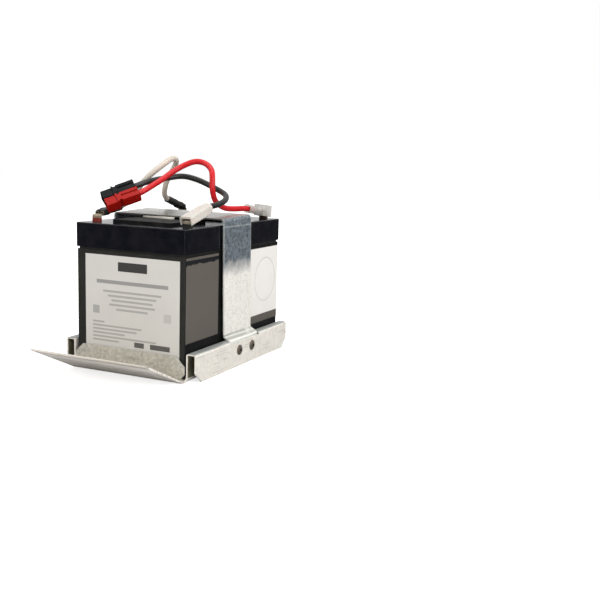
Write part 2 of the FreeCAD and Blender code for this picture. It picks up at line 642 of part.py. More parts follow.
def plug_contact():
    """Bent blade and crimped barrel inside a housing."""
    barrel_end = PLUG_L - CONTACT_BACK
    barrel_x = barrel_end - CONTACT_BARREL_L
    low = -MOUTH_H / 2 - NOSE_LOW_DROP / 2 + SPRING_T + 0.6
    path = [(1.2, low - 0.3), (2.4, low + 0.45), (BLADE_L, low + 0.45), (barrel_x + 0.6, 0)]
    blade = folded_strip(path, BLADE_T, BLADE_T / 2, lambda u, v: Vector(u, -BLADE_W / 2, v),
                         Vector(0, BLADE_W, 0))
    throat = Part.makeCylinder(BORE_D / 2 - 0.15, PLUG_L, Vector(MOUTH_DEPTH, 0, 0), Vector(1, 0, 0))
    front = box(0, MOUTH_DEPTH, -BLADE_W / 2, BLADE_W / 2, -PLUG_W, PLUG_W)
    blade = blade.common(throat.fuse(front))
    barrel = Part.makeCylinder(CONTACT_BARREL_D / 2, CONTACT_BARREL_L, Vector(barrel_x, 0, 0),
                               Vector(1, 0, 0))
    return blade.fuse(barrel).removeSplitter()


def plug_spring():
    """Flat steel spring that lies on the floor of the housing's mouth."""
    low = -MOUTH_H / 2 - NOSE_LOW_DROP / 2
    return box(MOUTH_DEPTH - SPRING_L, MOUTH_DEPTH, -SPRING_W / 2, SPRING_W / 2, low, low + SPRING_T)


def roll_pin():
    """Split spring pin that locks the two housings together."""
    ring = Part.makeCylinder(PIN_D / 2, PIN_L, Vector(PIN_X, 0, -PIN_L / 2))
    ring = ring.cut(Part.makeCylinder(PIN_D / 2 - PIN_T, PIN_L, Vector(PIN_X, 0, -PIN_L / 2)))
    return ring.cut(box(PIN_X, PIN_X + PIN_D, -0.3, 0.3, -PIN_L, PIN_L))


def on_pair(shape, side):
    """Put a housing or its contact in the pair; side is -1 red, +1 black, 0 middle."""
    out = shape.copy()
    out.translate(Vector(0, side * PLUG_W / 2, 0))
    return moved(out, PAIR_NOSE, *PAIR_TURN)


def pair_point(along, side):
    """Point on one housing's lead axis, measured from the nose."""
    place = FreeCAD.Placement(PAIR_NOSE, FreeCAD.Rotation(*PAIR_TURN))
    return place.multVec(Vector(along, side * PLUG_W / 2, 0))


# ---------------------------------------------------------------- leads
def lead(name, points):
    """Round lead along straight runs joined by tangent arcs."""
    pts = [Vector(*p) for p in points]
    runs = [b - a for a, b in zip(pts, pts[1:])]
    edges, radii, start = [], [], pts[0]
    for corner, d0, d1 in zip(pts[1:-1], runs, runs[1:]):
        half_turn = d0.getAngle(d1) / 2
        reach = 0.45 * min(d0.Length, d1.Length)
        radius = reach / math.tan(half_turn)
        u0, u1 = Vector(d0).normalize(), Vector(d1).normalize()
        first, last = corner - u0 * reach, corner + u1 * reach
        inward = (u1 - u0).normalize()
        centre = corner + inward * (radius / math.cos(half_turn))
        edges.append(Part.LineSegment(start, first).toShape())
        edges.append(Part.Arc(first, centre - inward * radius, last).toShape())
        radii.append(round(radius, 1))
        start = last
    edges.append(Part.LineSegment(start, pts[-1]).toShape())
    path = Part.Wire(edges)
    disc = Part.Wire(Part.makeCircle(LEAD_R, pts[0], runs[0]))
    tube = path.makePipeShell([disc], True, False)
    ratio = round(tube.Volume / (math.pi * LEAD_R ** 2 * path.Length), 5)
    print(name, "length", round(path.Length, 1), "volume ratio", ratio, "radii", radii)
    return tube


def over_lid(*points):
    """Points whose last number is their height above the lids."""
    return [Vector(x, y, LID_TOP + up) for x, y, up in points]


FRONT_POSITIVE = Terminal(-TERMINAL_X, -TERMINAL_Y, 90.0, 7.5, 3.0, 8.4)
FRONT_NEGATIVE = Terminal(TERMINAL_X, -TERMINAL_Y, 88.1, 16.4, 1.0, 8.4)
REAR_POSITIVE = Terminal(TERMINAL_X, TERMINAL_Y, -92.7, 8.0, 0.8, 4.4)
REAR_NEGATIVE = Terminal(-TERMINAL_X, TERMINAL_Y, -90.0, 17.0, 1.0, 8.4)
PLUG_ENTRY = PLUG_L - CONTACT_BACK

RED_ROUTE = [
    REAR_POSITIVE.lead_point(0), REAR_POSITIVE.lead_point(12.2),
    *over_lid((33.2, 16.4, 9.3), (29.6, 6.8, 9.9), (26.4, -1.2, 15.1), (26.0, -4.5, 23.8), (25.6, -3.7, 31.7),
              (23.3, -0.6, 38.4), (16.3, 1.8, 42.9), (7.5, 1.6, 44.1), (-0.3, -2.2, 40.4), (-5.4, -9.0, 35.6),
              (-8.7, -17.5, 31.2), (-11.0, -25.4, 27.6), (-12.6, -30.8, 24.7)),
    pair_point(PLUG_ENTRY + 4, -1), pair_point(PLUG_ENTRY, -1)]
BLACK_ROUTE = [
    FRONT_NEGATIVE.lead_point(0), FRONT_NEGATIVE.lead_point(7),
    *over_lid((40.6, -24.1, 14.0), (42.1, -17.7, 15.6), (41.3, -10.1, 18.1), (36.5, -3.0, 20.7),
              (28.3, 2.3, 23.1), (18.2, 5.3, 26.3), (7.5, 5.7, 30.3), (-2.9, 1.7, 32.9), (-10.2, -7.1, 31.1),
              (-14.1, -17.8, 29.6), (-16.8, -26.5, 27.8)),
    pair_point(PLUG_ENTRY + 5.5, 1), pair_point(PLUG_ENTRY, 1)]
WHITE_ROUTE = [
    FRONT_POSITIVE.lead_point(0), FRONT_POSITIVE.lead_point(10),
    *over_lid((-35.2, -17.3, 16.3), (-31.1, -13.8, 23.8), (-25.6, -12.6, 30.4), (-19.6, -10.4, 36.0),
              (-15.3, -4.4, 41.5), (-14.1, 2.6, 45.0), (-14.6, 8.6, 45.2), (-16.4, 13.6, 43.3),
              (-20.1, 17.8, 39.9), (-25.6, 21.0, 35.0), (-31.0, 23.0, 28.7), (-34.6, 24.9, 21.1)),
    REAR_NEGATIVE.lead_point(8.7), REAR_NEGATIVE.lead_point(0)]


# ---------------------------------------------------------------- labels
def side_sticker(span, rear):
    """Sticker on a block's right side; span is (near, far, z0, z1) from its terminal face."""
    near, far, z0, z1 = span
    face = BLOCK_W / 2 - WALL_SET_IN
    y0, y1 = (BLOCK_D - far, BLOCK_D - near) if rear else (near - BLOCK_D, far - BLOCK_D)
    return box(face, face + LABEL_T, y0, y1, z0, z1)


def front_label():
    """Large label on the face above the pull lip."""
    left, right, z0, z1 = FRONT_LABEL
    face = -BLOCK_D + WALL_SET_IN
    return box(left - BLOCK_W / 2, BLOCK_W / 2 - right, face - LABEL_T, face, z0, z1)


def build():
    """Return every node of the cartridge by name."""
    nodes = {
        "rail_tray": rail_tray(),
        "cradle_plate": cradle_plate(),
        "hoop_strap": hoop_strap(),
        "rivets_right": rivets(1),
        "rivets_left": rivets(-1),
        "front_label": front_label(),
        "front_side_panel": side_sticker(FRONT_PANEL, False),
        "rear_side_label": side_sticker(REAR_LABEL, True),
        "rear_side_panel": side_sticker(REAR_PANEL, True),
    }
    for name, rear in (("front", False), ("rear", True)):
        nodes[name + "_container"] = turned(block_container(), rear)
        nodes[name + "_lid"] = turned(block_lid(), rear)
        nodes[name + "_vent_cover"] = turned(vent_cover(), rear)
    terminals = {"front_positive": (FRONT_POSITIVE, shrink_boot(0.6), "boot"),
                 "front_negative": (FRONT_NEGATIVE, nylon_cover(), "insulator"),
                 "rear_positive": (REAR_POSITIVE, clear_cover(), "cover"),
                 "rear_negative": (REAR_NEGATIVE, shrink_boot(-1.6), "boot")}
    for name, (terminal, sleeve, word) in terminals.items():
        nodes[name + "_tab"] = terminal.tab()
        nodes[name + "_seal"] = terminal.seal()
        nodes[name + "_receptacle"] = terminal.fit(clip(terminal.barrel))
        nodes[name + "_" + word] = terminal.fit(sleeve)
    for colour, side in (("red", -1), ("black", 1)):
        nodes[colour + "_housing"] = on_pair(plug_housing(), side)
        nodes[colour + "_contact"] = on_pair(plug_contact(), side)
        nodes[colour + "_contact_spring"] = on_pair(plug_spring(), side)
    nodes["housing_roll_pin"] = on_pair(roll_pin(), 0)
    nodes["red_lead"] = lead("red_lead", RED_ROUTE)
    nodes["black_lead"] = lead("black_lead", BLACK_ROUTE)
    nodes["white_jumper"] = lead("white_jumper", WHITE_ROUTE)
    return nodes


def main():
    """Write one STEP file per node."""
    os.makedirs("parts", exist_ok=True)
    for name, shape in build().items():
        shape.exportStep("parts/" + name + ".step")


main()
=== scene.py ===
"""Dressed model of a battery cartridge for a small uninterruptible power supply.

The folded steel, the sealed blocks, the fittings and the connector housings are
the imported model's own solids with finishes of their own. The three leads are
smooth curves on their packed routes, the red one eased next to its housing. Two
shrink sleeves, the rivets' mandrel ends and a strip of foam tape are modelled
here. Everything is in metres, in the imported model's frame.
"""

import logging
import math
from dataclasses import dataclass, field
from enum import Enum
from typing import Any, Sequence

import bpy
from mathutils import Matrix, Vector


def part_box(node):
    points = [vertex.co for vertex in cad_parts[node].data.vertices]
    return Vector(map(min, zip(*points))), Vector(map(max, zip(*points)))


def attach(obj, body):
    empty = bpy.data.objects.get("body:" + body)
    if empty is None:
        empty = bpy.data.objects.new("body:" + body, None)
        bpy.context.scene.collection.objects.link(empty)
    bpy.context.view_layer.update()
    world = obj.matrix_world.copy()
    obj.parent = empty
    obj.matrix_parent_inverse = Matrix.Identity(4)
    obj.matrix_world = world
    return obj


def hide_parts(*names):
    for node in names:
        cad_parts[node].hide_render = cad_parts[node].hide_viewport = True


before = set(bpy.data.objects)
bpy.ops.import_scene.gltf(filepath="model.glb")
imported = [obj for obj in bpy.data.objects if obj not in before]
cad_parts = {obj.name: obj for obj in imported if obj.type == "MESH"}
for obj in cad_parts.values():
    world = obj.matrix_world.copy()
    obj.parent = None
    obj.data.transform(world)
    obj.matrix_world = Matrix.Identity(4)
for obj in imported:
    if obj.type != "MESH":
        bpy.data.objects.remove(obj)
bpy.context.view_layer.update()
LOG = logging.getLogger("battery_cartridge")
MM = 0.001
WHITE = (1.0, 1.0, 1.0, 1.0)

Point = tuple[float, float, float]
Socket = bpy.types.NodeSocket


class Axis(Enum):
    """Direction that a pattern runs in."""

    X = 0
    Y = 1
    Z = 2


class Polarity(Enum):
    """Which pole of a block a terminal belongs to."""

    POSITIVE = "positive"
    NEGATIVE = "negative"


# ---- colours and nodes
def linear(hex_code: str) -> tuple[float, float, float, float]:
    """Turn an sRGB hex colour into linear light.

    Args:
        hex_code: Six hex digits.

    Returns:
        Red, green, blue and an alpha of 1.
    """
    parts = [int(hex_code[i:i + 2], 16) / 255 for i in (0, 2, 4)]
    red, green, blue = (c / 12.92 if c <= 0.04045 else ((c + 0.055) / 1.055) ** 2.4 for c in parts)
    return red, green, blue, 1.0


def shaded(hex_code: str, factor: float) -> tuple[float, ...]:
    """Return a hex colour in linear light, made darker or lighter by a factor."""
    return tuple(min(1.0, c * factor) for c in linear(hex_code)[:3]) + (1.0,)


# Inputs by index: MapRange has its value at 0, the range it comes from at 1 and 2 and the range it
# goes to, 0 to 1 unless given, at 3 and 4. Mix has its share at 0 and its two colours at 6 and 7.
@dataclass(frozen=True)
class Painter:
    """Adds nodes to one tree; its patterns lie on one place and feed one shader."""

    tree: bpy.types.NodeTree
    place: Socket | None = None
    shader: bpy.types.Node | None = None

    def add(self, kind: str, given: dict[Any, Any] | None = None, output: int | str = 0) -> Socket | None:
        """Add one node with its settings and links.

        Args:
            kind: The node's type, without ShaderNode in front.
            given: What the node's properties and inputs get, by name or index: a value, a hex
                colour or the socket that feeds an input.
            output: The output that is wanted, by name or index.

        Returns:
            That output, whose node has the others, or nothing where the node has none.
        """
        node = self.tree.nodes.new("ShaderNode" + kind)
        for name, value in (given or {}).items():
            if isinstance(name, str) and hasattr(node, name):
                setattr(node, name, value)
            elif isinstance(value, Socket):
                self.tree.links.new(value, node.inputs[name])
            else:
                node.inputs[name].default_value = linear(value) if isinstance(value, str) else value
        return node.outputs[output] if node.outputs else None

    def feed(self, name: str, value: Socket) -> None:
        """Link a value to one of the shader's inputs."""
        self.tree.links.new(value, self.shader.inputs[name])

    def fed(self, name: str) -> Socket:
        """Return what already feeds one of the shader's inputs."""
        return self.shader.inputs[name].links[0].from_socket

    def drawn_long(self, scale: Point) -> "Painter":
        """Return a painter whose patterns are drawn long along the axes with a small scale."""
        place = self.add("Mapping", {"Vector": self.place, "Scale": scale})
        return Painter(self.tree, place, self.shader)

    def patches(self, size_mm: float, low: float = 0.0, high: float = 1.0, detail: float = 4.0,
                ends: tuple[float, float] = (0.3, 0.7)) -> Socket:
        """Cloudy patches of a real size, held flat at both ends.

        Args:
            size_mm: Distance between patches.
            low: Value between patches.
            high: Value in a patch.
            detail: Octaves of finer noise.
            ends: Noise that becomes low, and noise that becomes high.

        Returns:
            The value, from low to high.
        """
        noise = self.add("TexNoise", {"Vector": self.place, "Scale": 1.0 / (size_mm * MM), "Detail": detail,
                                      "Roughness": 0.55})
        return self.add("MapRange", {0: noise, 1: ends[0], 2: ends[1], 3: low, 4: high})

    def relief(self, size_mm: float, depth_mm: float, strength: float, detail: float = 4.0) -> None:
        """Give the shader a fine relief of a real size and depth.

        Args:
            size_mm: Distance between two bumps.
            depth_mm: Depth from top to bottom.
            strength: How much of the relief shows.
            detail: Octaves of finer noise.
        """
        noise = self.add("TexNoise", {"Vector": self.place, "Scale": 1.0 / (size_mm * MM), "Detail": detail,
                                      "Roughness": 0.55})
        self.feed("Normal", self.add("Bump", {
            "Height": noise, "Distance": depth_mm * MM, "Strength": strength}))

    def shine(self, roughness: float, size_mm: float, less: float, more: float,
              detail: float = 4.0) -> None:
        """Vary the shader's roughness in patches.

        Args:
            roughness: The finish's own roughness.
            size_mm: Distance between patches.
            less: How much smoother the smoothest patch is.
            more: How much rougher the roughest patch is.
            detail: Octaves of finer noise.
        """
        self.feed("Roughness", self.patches(size_mm, roughness - less, roughness + more, detail))

    def mottle(self, colour: str, size_mm: float, amount: float) -> Socket:
        """Vary a finish's colour a little, lighter and darker.

        Args:
            colour: The finish's own colour.
            size_mm: Distance between blobs.
            amount: Largest change, as a share of the colour.

        Returns:
            The mixed colour, already linked to the shader.
        """
        mixed = self.add("Mix", {"data_type": "RGBA", 0: self.patches(size_mm),
                                 6: shaded(colour, 1 - amount), 7: shaded(colour, 1 + amount)}, 2)
        self.feed("Base Color", mixed)
        return mixed

    def all_of(self, *shares: Any) -> Socket:
        """Multiply shares, so that the result is 1 only where all of them are.

        Args:
            shares: Numbers or sockets.

        Returns:
            The product.
        """
        both = shares[0]
        for share in shares[1:]:
            both = self.add("Math", {"operation": "MULTIPLY", 0: both, 1: share})
        return both

    def banded(self, value: Socket, low_mm: float, high_mm: float, soft_mm: float) -> Socket:
        """Band between two values of a coordinate, faded at both ends.

        Args:
            value: The coordinate, in metres.
            low_mm: Lower end.
            high_mm: Upper end.
            soft_mm: Width of the fade outside each end.

        Returns:
            1 in the band and 0 outside.
        """
        rising = self.add("MapRange", {0: value, 1: (low_mm - soft_mm) * MM, 2: low_mm * MM})
        falling = self.add("MapRange", {
            0: value, 1: high_mm * MM, 2: (high_mm + soft_mm) * MM, 3: 1.0, 4: 0.0})
        return self.all_of(rising, falling)

    def within(self, value: Socket, low_mm: float, high_mm: float) -> Socket:
        """Give 1 between two values of a coordinate and 0 outside, with sharp edges."""
        return self.all_of(self.add("Math", {"operation": "GREATER_THAN", 0: value, 1: low_mm * MM}),
                           self.add("Math", {"operation": "LESS_THAN", 0: value, 1: high_mm * MM}))

    def specks(self, size_mm: float, share: float) -> Socket:
        """Scattered round specks.

        Args:
            size_mm: Distance between the places that a speck may take.
            share: How many of those places have one.

        Returns:
            1 on a speck and 0 elsewhere.
        """
        cells = self.add("TexVoronoi", {"Vector": self.place, "Scale": 1.0 / (size_mm * MM)}).node.outputs
        chance = self.add("SeparateColor", {"Color": cells["Color"]})
        return self.all_of(self.add("MapRange", {0: cells["Distance"], 1: 0.12, 2: 0.26, 3: 1.0, 4: 0.0}),
                           self.add("Math", {"operation": "LESS_THAN", 0: chance, 1: share}))

    def scratches(self, axis: Axis, width_mm: float, amount: float) -> Socket:
        """Long thin scratches in one direction.

        Args:
            axis: The direction that they run in.
            width_mm: Distance across between two streaks.
            amount: Strength of the deepest scratch.

        Returns:
            0 beside the scratches, up to amount in one.
        """
        scale = [1.0, 1.0, 1.0]
        scale[axis.value] = 0.025
        turned = self.add("Mapping", {"Vector": self.place, "Scale": scale, "Rotation": (0.0, 0.0, 0.01)})
        fine = Painter(self.tree, turned).patches(width_mm, 0.0, amount, 2.0, (0.60, 0.70))
        return self.all_of(fine, self.patches(22.0, detail=2.0, ends=(0.42, 0.6)))


def cleared(owner: bpy.types.Material | bpy.types.World) -> Painter:
    """Empty the node tree of a material or a world.

    Args:
        owner: The material or world.

    Returns:
        A painter on the empty tree.
    """
    owner.use_nodes = True
    owner.node_tree.nodes.clear()
    return Painter(owner.node_tree)


# ---- finishes
@dataclass(frozen=True)
class Finish:
    """A surface: what it is made of and how its patterns vary it."""

    name: str
    colour: str
    roughness: float
    metallic: float = 0.0
    specular: float = 0.5
    ior: float = 1.5

    def build(self) -> bpy.types.Material:
        """Make the material.

        Returns:
            The new material, with its nodes.
        """
        material = bpy.data.materials.new(self.name)
        blank = cleared(material)
        place = blank.add("TexCoord", output="Object")
        surface = blank.add("BsdfPrincipled", {
            "Base Color": self.colour, "Roughness": self.roughness, "Metallic": self.metallic})
        if self.metallic < 0.5:
            surface.node.inputs["IOR"].default_value = self.ior
            surface.node.inputs["Specular IOR Level"].default_value = self.specular
        self.vary(Painter(blank.tree, place, surface.node))
        blank.add("OutputMaterial", {"Surface": surface})
        material.diffuse_color = linear(self.colour)
        material.metallic = self.metallic
        material.roughness = self.roughness
        return material

    def vary(self, paint: Painter) -> None:
        """Add the finish's patterns.

        Args:
            paint: Painter on object coordinates, in metres, with the Principled shader.
        """
        raise NotImplementedError(self.name)


@dataclass(frozen=True)
class GalvanisedSheet(Finish):
    """Hot-dip galvanised sheet: pale zinc with fine spangle, scratches and specks."""

    spangle_mm: float = 2.2
    contrast: float = 0.10
    scratch_axis: Axis = Axis.Z
    scratch_colour: str = "a39c90"
    scratch_amount: float = 0.5
    speck_colour: str = "8c8375"
    speck_share: float = 0.05

    def vary(self, paint: Painter) -> None:
        """Cover the sheet in zinc and give it a patchy shine.

        Args:
            paint: Painter on object coordinates, with the Principled shader.
        """
        paint.feed("Base Color", self.zinc_with_wear_and_painted_light(paint))
        paint.shine(self.roughness, size_mm=2.2, less=0.07, more=0.09)
        paint.relief(size_mm=1.6, depth_mm=0.02, strength=0.5)

    def zinc_with_wear_and_painted_light(self, paint: Painter) -> Socket:
        """Lay scratches and specks over the zinc.

        Args:
            paint: Painter of the material.

        Returns:
            The sheet's colour.
        """
        zinc = self.zinc(paint, self.colour, self.contrast, self.spangle_mm)
        lines = paint.scratches(self.scratch_axis, width_mm=0.9, amount=self.scratch_amount)
        zinc = paint.add("Mix", {"data_type": "RGBA", 0: lines, 6: zinc, 7: self.scratch_colour}, 2)
        dots = paint.all_of(paint.specks(size_mm=1.6, share=self.speck_share), 0.6)
        return paint.add("Mix", {"data_type": "RGBA", 0: dots, 6: zinc, 7: self.speck_colour}, 2)

    @staticmethod
    def zinc(paint: Painter, colour: str, contrast: float, spangle_mm: float) -> Socket:
        """Mix the zinc's tones.

        Args:
            paint: Painter on the place that the spangle lies on.
            colour: The zinc's middle colour.
            contrast: How much lighter the lightest spangle is; the darkest is twice as far off.
            spangle_mm: Size of one crystal.

        Returns:
            The colour.
        """
        ripple = paint.add("TexNoise", {"Vector": paint.place, "Scale": 1.0 / (3.0 * MM)}, "Color")
        wavy = paint.add("VectorMath", {
            "operation": "MULTIPLY_ADD", 0: ripple, 1: (1.2 * MM,) * 3, 2: paint.place})
        crystals = paint.add("TexVoronoi", {"Vector": wavy, "Scale": 1.0 / (spangle_mm * MM)}, "Color")
        tone = paint.add("SeparateColor", {"Color": crystals})
        cloud = paint.add("TexNoise", {"Vector": paint.place, "Scale": 1.0 / (16.0 * MM), "Detail": 5.0,
                                       "Roughness": 0.6})
        both = paint.add("Math", {
            "operation": "ADD", 0: paint.all_of(tone, 0.5), 1: paint.all_of(cloud, 0.5)})
        share = paint.add("MapRange", {0: both, 1: 0.2, 2: 0.8})
        return paint.add("Mix", {"data_type": "RGBA", 0: share, 6: shaded(colour, 1 - 2 * contrast),
                                 7: shaded(colour, 1 + contrast)}, 2)


@dataclass(frozen=True)
class TraySheet(GalvanisedSheet):
    """The tray's sheet: darker bluish rail tops, painted shade inside its rails, and streaked along its pull
    lip, with painted light and shade there.
    """

    inside_shade_colour: str = "5a5638"
    rail_inside: tuple[float, float] = (47.45, 52.85)
    rail_ceiling: float = 19.05
    rail_top: float = 19.4
    rail_top_colour: str = "a3a6a3"
    lip_from: float = -71.5
    lip_painted_light_colour: str = "f8f2ea"
    lip_top_shade_colour: str = "c9c2b6"
    lip_grain_colour: str = "9c9184"
    lip_glint_colour: str = "f7f3ec"

    def zinc_with_wear_and_painted_light(self, paint: Painter) -> Socket:
        """Colour the rails' tops a darker bluish grey, lay on the lip's zinc and paint shade into the rails'
        insides.

        Args:
            paint: Painter of the material.

        Returns:
            The sheet's colour.
        """
        zinc = GalvanisedSheet.zinc_with_wear_and_painted_light(self, paint)
        parts = paint.add("SeparateXYZ", {"Vector": paint.place}).node.outputs
        # The rails' tops in a darker bluish grey, drawn long along the rails.
        rail_top_tone = self.zinc(paint.drawn_long((1.0, 0.06, 1.0)), self.rail_top_colour, contrast=0.10,
                         spangle_mm=1.2)
        on_top = paint.add("MapRange", {0: parts["Z"], 1: self.rail_top * MM, 2: (self.rail_top + 0.5) * MM})
        zinc = paint.add("Mix", {"data_type": "RGBA", 0: on_top, 6: zinc, 7: rail_top_tone}, 2)
        on_lip = paint.add("MapRange", {
            0: parts["Y"], 1: (self.lip_from - 1.0) * MM, 2: self.lip_from * MM, 3: 1.0, 4: 0.0})
        zinc = paint.add("Mix", {"data_type": "RGBA", 0: on_lip, 6: zinc, 7: self.lip_zinc(paint)}, 2)
        # Painted shade: a dark olive inside the rails' channels, in patches.
        out = paint.add("Math", {"operation": "ABSOLUTE", 0: parts["X"]})
        low, high = self.rail_inside
        painted_shade = paint.all_of(paint.banded(out, low, high, 0.02),
                             paint.banded(parts["Z"], -1.0, self.rail_ceiling, 0.02),
                             paint.patches(size_mm=7.0, low=0.8, high=1.0))
        return paint.add("Mix", {"data_type": "RGBA", 0: painted_shade, 6: zinc, 7: self.inside_shade_colour}, 2)

    def lip_zinc(self, paint: Painter) -> Socket:
        """Streak the pull lip from side to side, with paler zinc as painted light, painted shade where it
        faces up and painted glints.

        Args:
            paint: Painter of the material.

        Returns:
            The lip's colour.
        """
        # Painted light: the lip's zinc is paler than the rest of the sheet.
        zinc = self.zinc(paint.drawn_long((0.12, 1.0, 1.0)), self.lip_painted_light_colour, contrast=0.05,
                         spangle_mm=2.4)
        # Painted shade on the lip's faces that look up.
        facing = paint.add("NewGeometry", output="Normal")
        upward = paint.add("SeparateXYZ", {"Vector": facing}, "Z")
        upward = paint.add("MapRange", {0: upward, 1: 0.0, 2: 0.2, 4: 0.7})
        zinc = paint.add("Mix", {"data_type": "RGBA", 0: upward, 6: zinc, 7: self.lip_top_shade_colour}, 2)
        grain = paint.drawn_long((0.02, 1.0, 1.0)).patches(3.6, high=0.7, detail=3.0, ends=(0.48, 0.68))
        zinc = paint.add("Mix", {"data_type": "RGBA", 0: grain, 6: zinc, 7: self.lip_grain_colour}, 2)
        # Painted glints along the lip.
        glints = paint.drawn_long((1.0, 1.4, 1.4)).scratches(Axis.X, width_mm=6.0, amount=0.8)
        return paint.add("Mix", {"data_type": "RGBA", 0: glints, 6: zinc, 7: self.lip_glint_colour}, 2)


@dataclass(frozen=True)
class HoopSheet(GalvanisedSheet):
    """The hoop's sheet: pale below, a painted bluish reflection with painted glints above, grey on its top
    plate.
    """

    foot_colour: str = "d9dcd8"
    foot_height: float = 19.8
    blue_reflection_colour: str = "6f7880"
    upper_from: float = 66.0
    upper_full: float = 78.0
    glint_colour: str = "c2cacd"
    rim_highlight_colour: str = "c0c3c0"
    rust_colour: str = "6d5c49"
    # Bands by height: the pale one under the top bend is a scratch; the jog's grey slope is painted shade
    # and its thin bright line a painted highlight.
    bend_light_and_scratch: tuple[tuple[float, float, str, float], ...] = (
        (101.8, 102.2, "c5c9c6", 0.5), (20.8, 23.8, "b3b3ac", 1.0), (22.2, 22.4, "f4f2ec", 0.7))
    plate_from: float = 44.8
    plate_colours: tuple[str, str] = ("6a6760", "b3b0a9")
    plate_polish: float = 0.55
    half_width: float = 20.2
    lean: float = 2.0
    lean_shift: float = 0.42

    def vary(self, paint: Painter) -> None:
        """Cover the hoop in zinc, smoother on its top plate.

        Args:
            paint: Painter on object coordinates, with the Principled shader.
        """
        GalvanisedSheet.vary(self, paint)
        height = paint.add("SeparateXYZ", {"Vector": paint.place}, "Z")
        polish = paint.add("MapRange", {
            0: height, 1: 105.0 * MM, 2: 107.5 * MM, 3: 1.0, 4: self.plate_polish})
        paint.feed("Roughness", paint.all_of(paint.fed("Roughness"), polish))

    def zinc_with_wear_and_painted_light(self, paint: Painter) -> Socket:
        """Put the top plate's zinc over the legs' zinc.

        Args:
            paint: Painter of the material.

        Returns:
            The sheet's colour.
        """
        parts = paint.add("SeparateXYZ", {"Vector": paint.place}).node.outputs
        upright = paint.add("Mapping", {
            "Vector": paint.place, "Rotation": (math.radians(-self.lean), 0.0, 0.0)})
        across = paint.add("SeparateXYZ", {"Vector": upright}, "Y")
        across = paint.add("Math", {"operation": "SUBTRACT", 0: across, 1: self.lean_shift * MM})
        leg = self.leg(paint, parts["Z"], across)
        out = paint.add("Math", {"operation": "ABSOLUTE", 0: parts["X"]})
        on_plate = paint.all_of(
            paint.add("MapRange", {
                0: out, 1: self.plate_from * MM, 2: (self.plate_from + 1.2) * MM, 3: 1.0, 4: 0.0}),
            paint.add("MapRange", {0: parts["Z"], 1: 100.0 * MM, 2: 104.0 * MM}))
        near, far = (self.zinc(paint, colour, contrast, spangle_mm=2.4)
                     for colour, contrast in zip(self.plate_colours, (0.16, 0.10)))
        farther = paint.add("MapRange", {0: across, 1: -19.0 * MM, 2: 12.0 * MM})
        plate = paint.add("Mix", {"data_type": "RGBA", 0: farther, 6: near, 7: far}, 2)
        return paint.add("Mix", {"data_type": "RGBA", 0: on_plate, 6: leg, 7: plate}, 2)

    def leg(self, paint: Painter, height: Socket, across: Socket) -> Socket:
        """Shade a leg from pale zinc below to a painted bluish reflection above, with painted light and
        shade at the jog, a pale scratch under the top bend and painted highlights along its rims.

        Args:
            paint: Painter of the material.
            height: Height above the origin.
            across: Distance from the hoop's middle line.

        Returns:
            The leg's colour.
        """
        pale = GalvanisedSheet.zinc_with_wear_and_painted_light(self, paint)
        foot = self.zinc(paint, self.foot_colour, contrast=0.08, spangle_mm=2.4)
        at_foot = paint.add("MapRange", {
            0: height, 1: (self.foot_height - 0.8) * MM, 2: self.foot_height * MM, 3: 1.0, 4: 0.0})
        pale = paint.add("Mix", {"data_type": "RGBA", 0: at_foot, 6: pale, 7: foot}, 2)
        # Painted reflection: the leg turns bluish, with painted glints, above a ragged height.
        upper = self.zinc(paint, self.blue_reflection_colour, contrast=0.30, spangle_mm=1.7)
        glints = paint.all_of(paint.specks(size_mm=2.1, share=0.3), 0.75)
        upper = paint.add("Mix", {"data_type": "RGBA", 0: glints, 6: upper, 7: self.glint_colour}, 2)
        wave = paint.patches(size_mm=8.0, low=-4.0 * MM, high=4.0 * MM, ends=(0.2, 0.8))
        ragged = paint.add("Math", {"operation": "ADD", 0: height, 1: wave})
        share = paint.add("MapRange", {0: ragged, 1: self.upper_from * MM, 2: self.upper_full * MM})
        leg = paint.add("Mix", {"data_type": "RGBA", 0: share, 6: pale, 7: upper}, 2)
        patchy = paint.patches(size_mm=5.0, low=0.5, ends=(0.35, 0.5))
        # Painted shade and highlight on the jog, and the scratch under the top bend.
        for low, high, colour, amount in self.bend_light_and_scratch:
            band = paint.all_of(paint.banded(height, low, high, 0.5), amount, patchy)
            leg = paint.add("Mix", {"data_type": "RGBA", 0: band, 6: leg, 7: colour}, 2)
        # Painted highlight along both rims of the leg, where the reflection is.
        out = paint.add("Math", {"operation": "ABSOLUTE", 0: across})
        rim = paint.add("MapRange", {
            0: out, 1: (self.half_width - 1.0) * MM, 2: (self.half_width - 0.3) * MM, 4: 0.6})
        rim = paint.all_of(rim, patchy, share)
        leg = paint.add("Mix", {"data_type": "RGBA", 0: rim, 6: leg, 7: self.rim_highlight_colour}, 2)
        rust = paint.all_of(
            paint.specks(size_mm=1.2, share=0.45),
            paint.add("Math", {"operation": "SUBTRACT", 0: 1.0, 1: share}),
            paint.add("MapRange", {
                0: across, 1: (0.2 - self.half_width) * MM, 2: (0.7 - self.half_width) * MM}))
        return paint.add("Mix", {"data_type": "RGBA", 0: rust, 6: leg, 7: self.rust_colour}, 2)


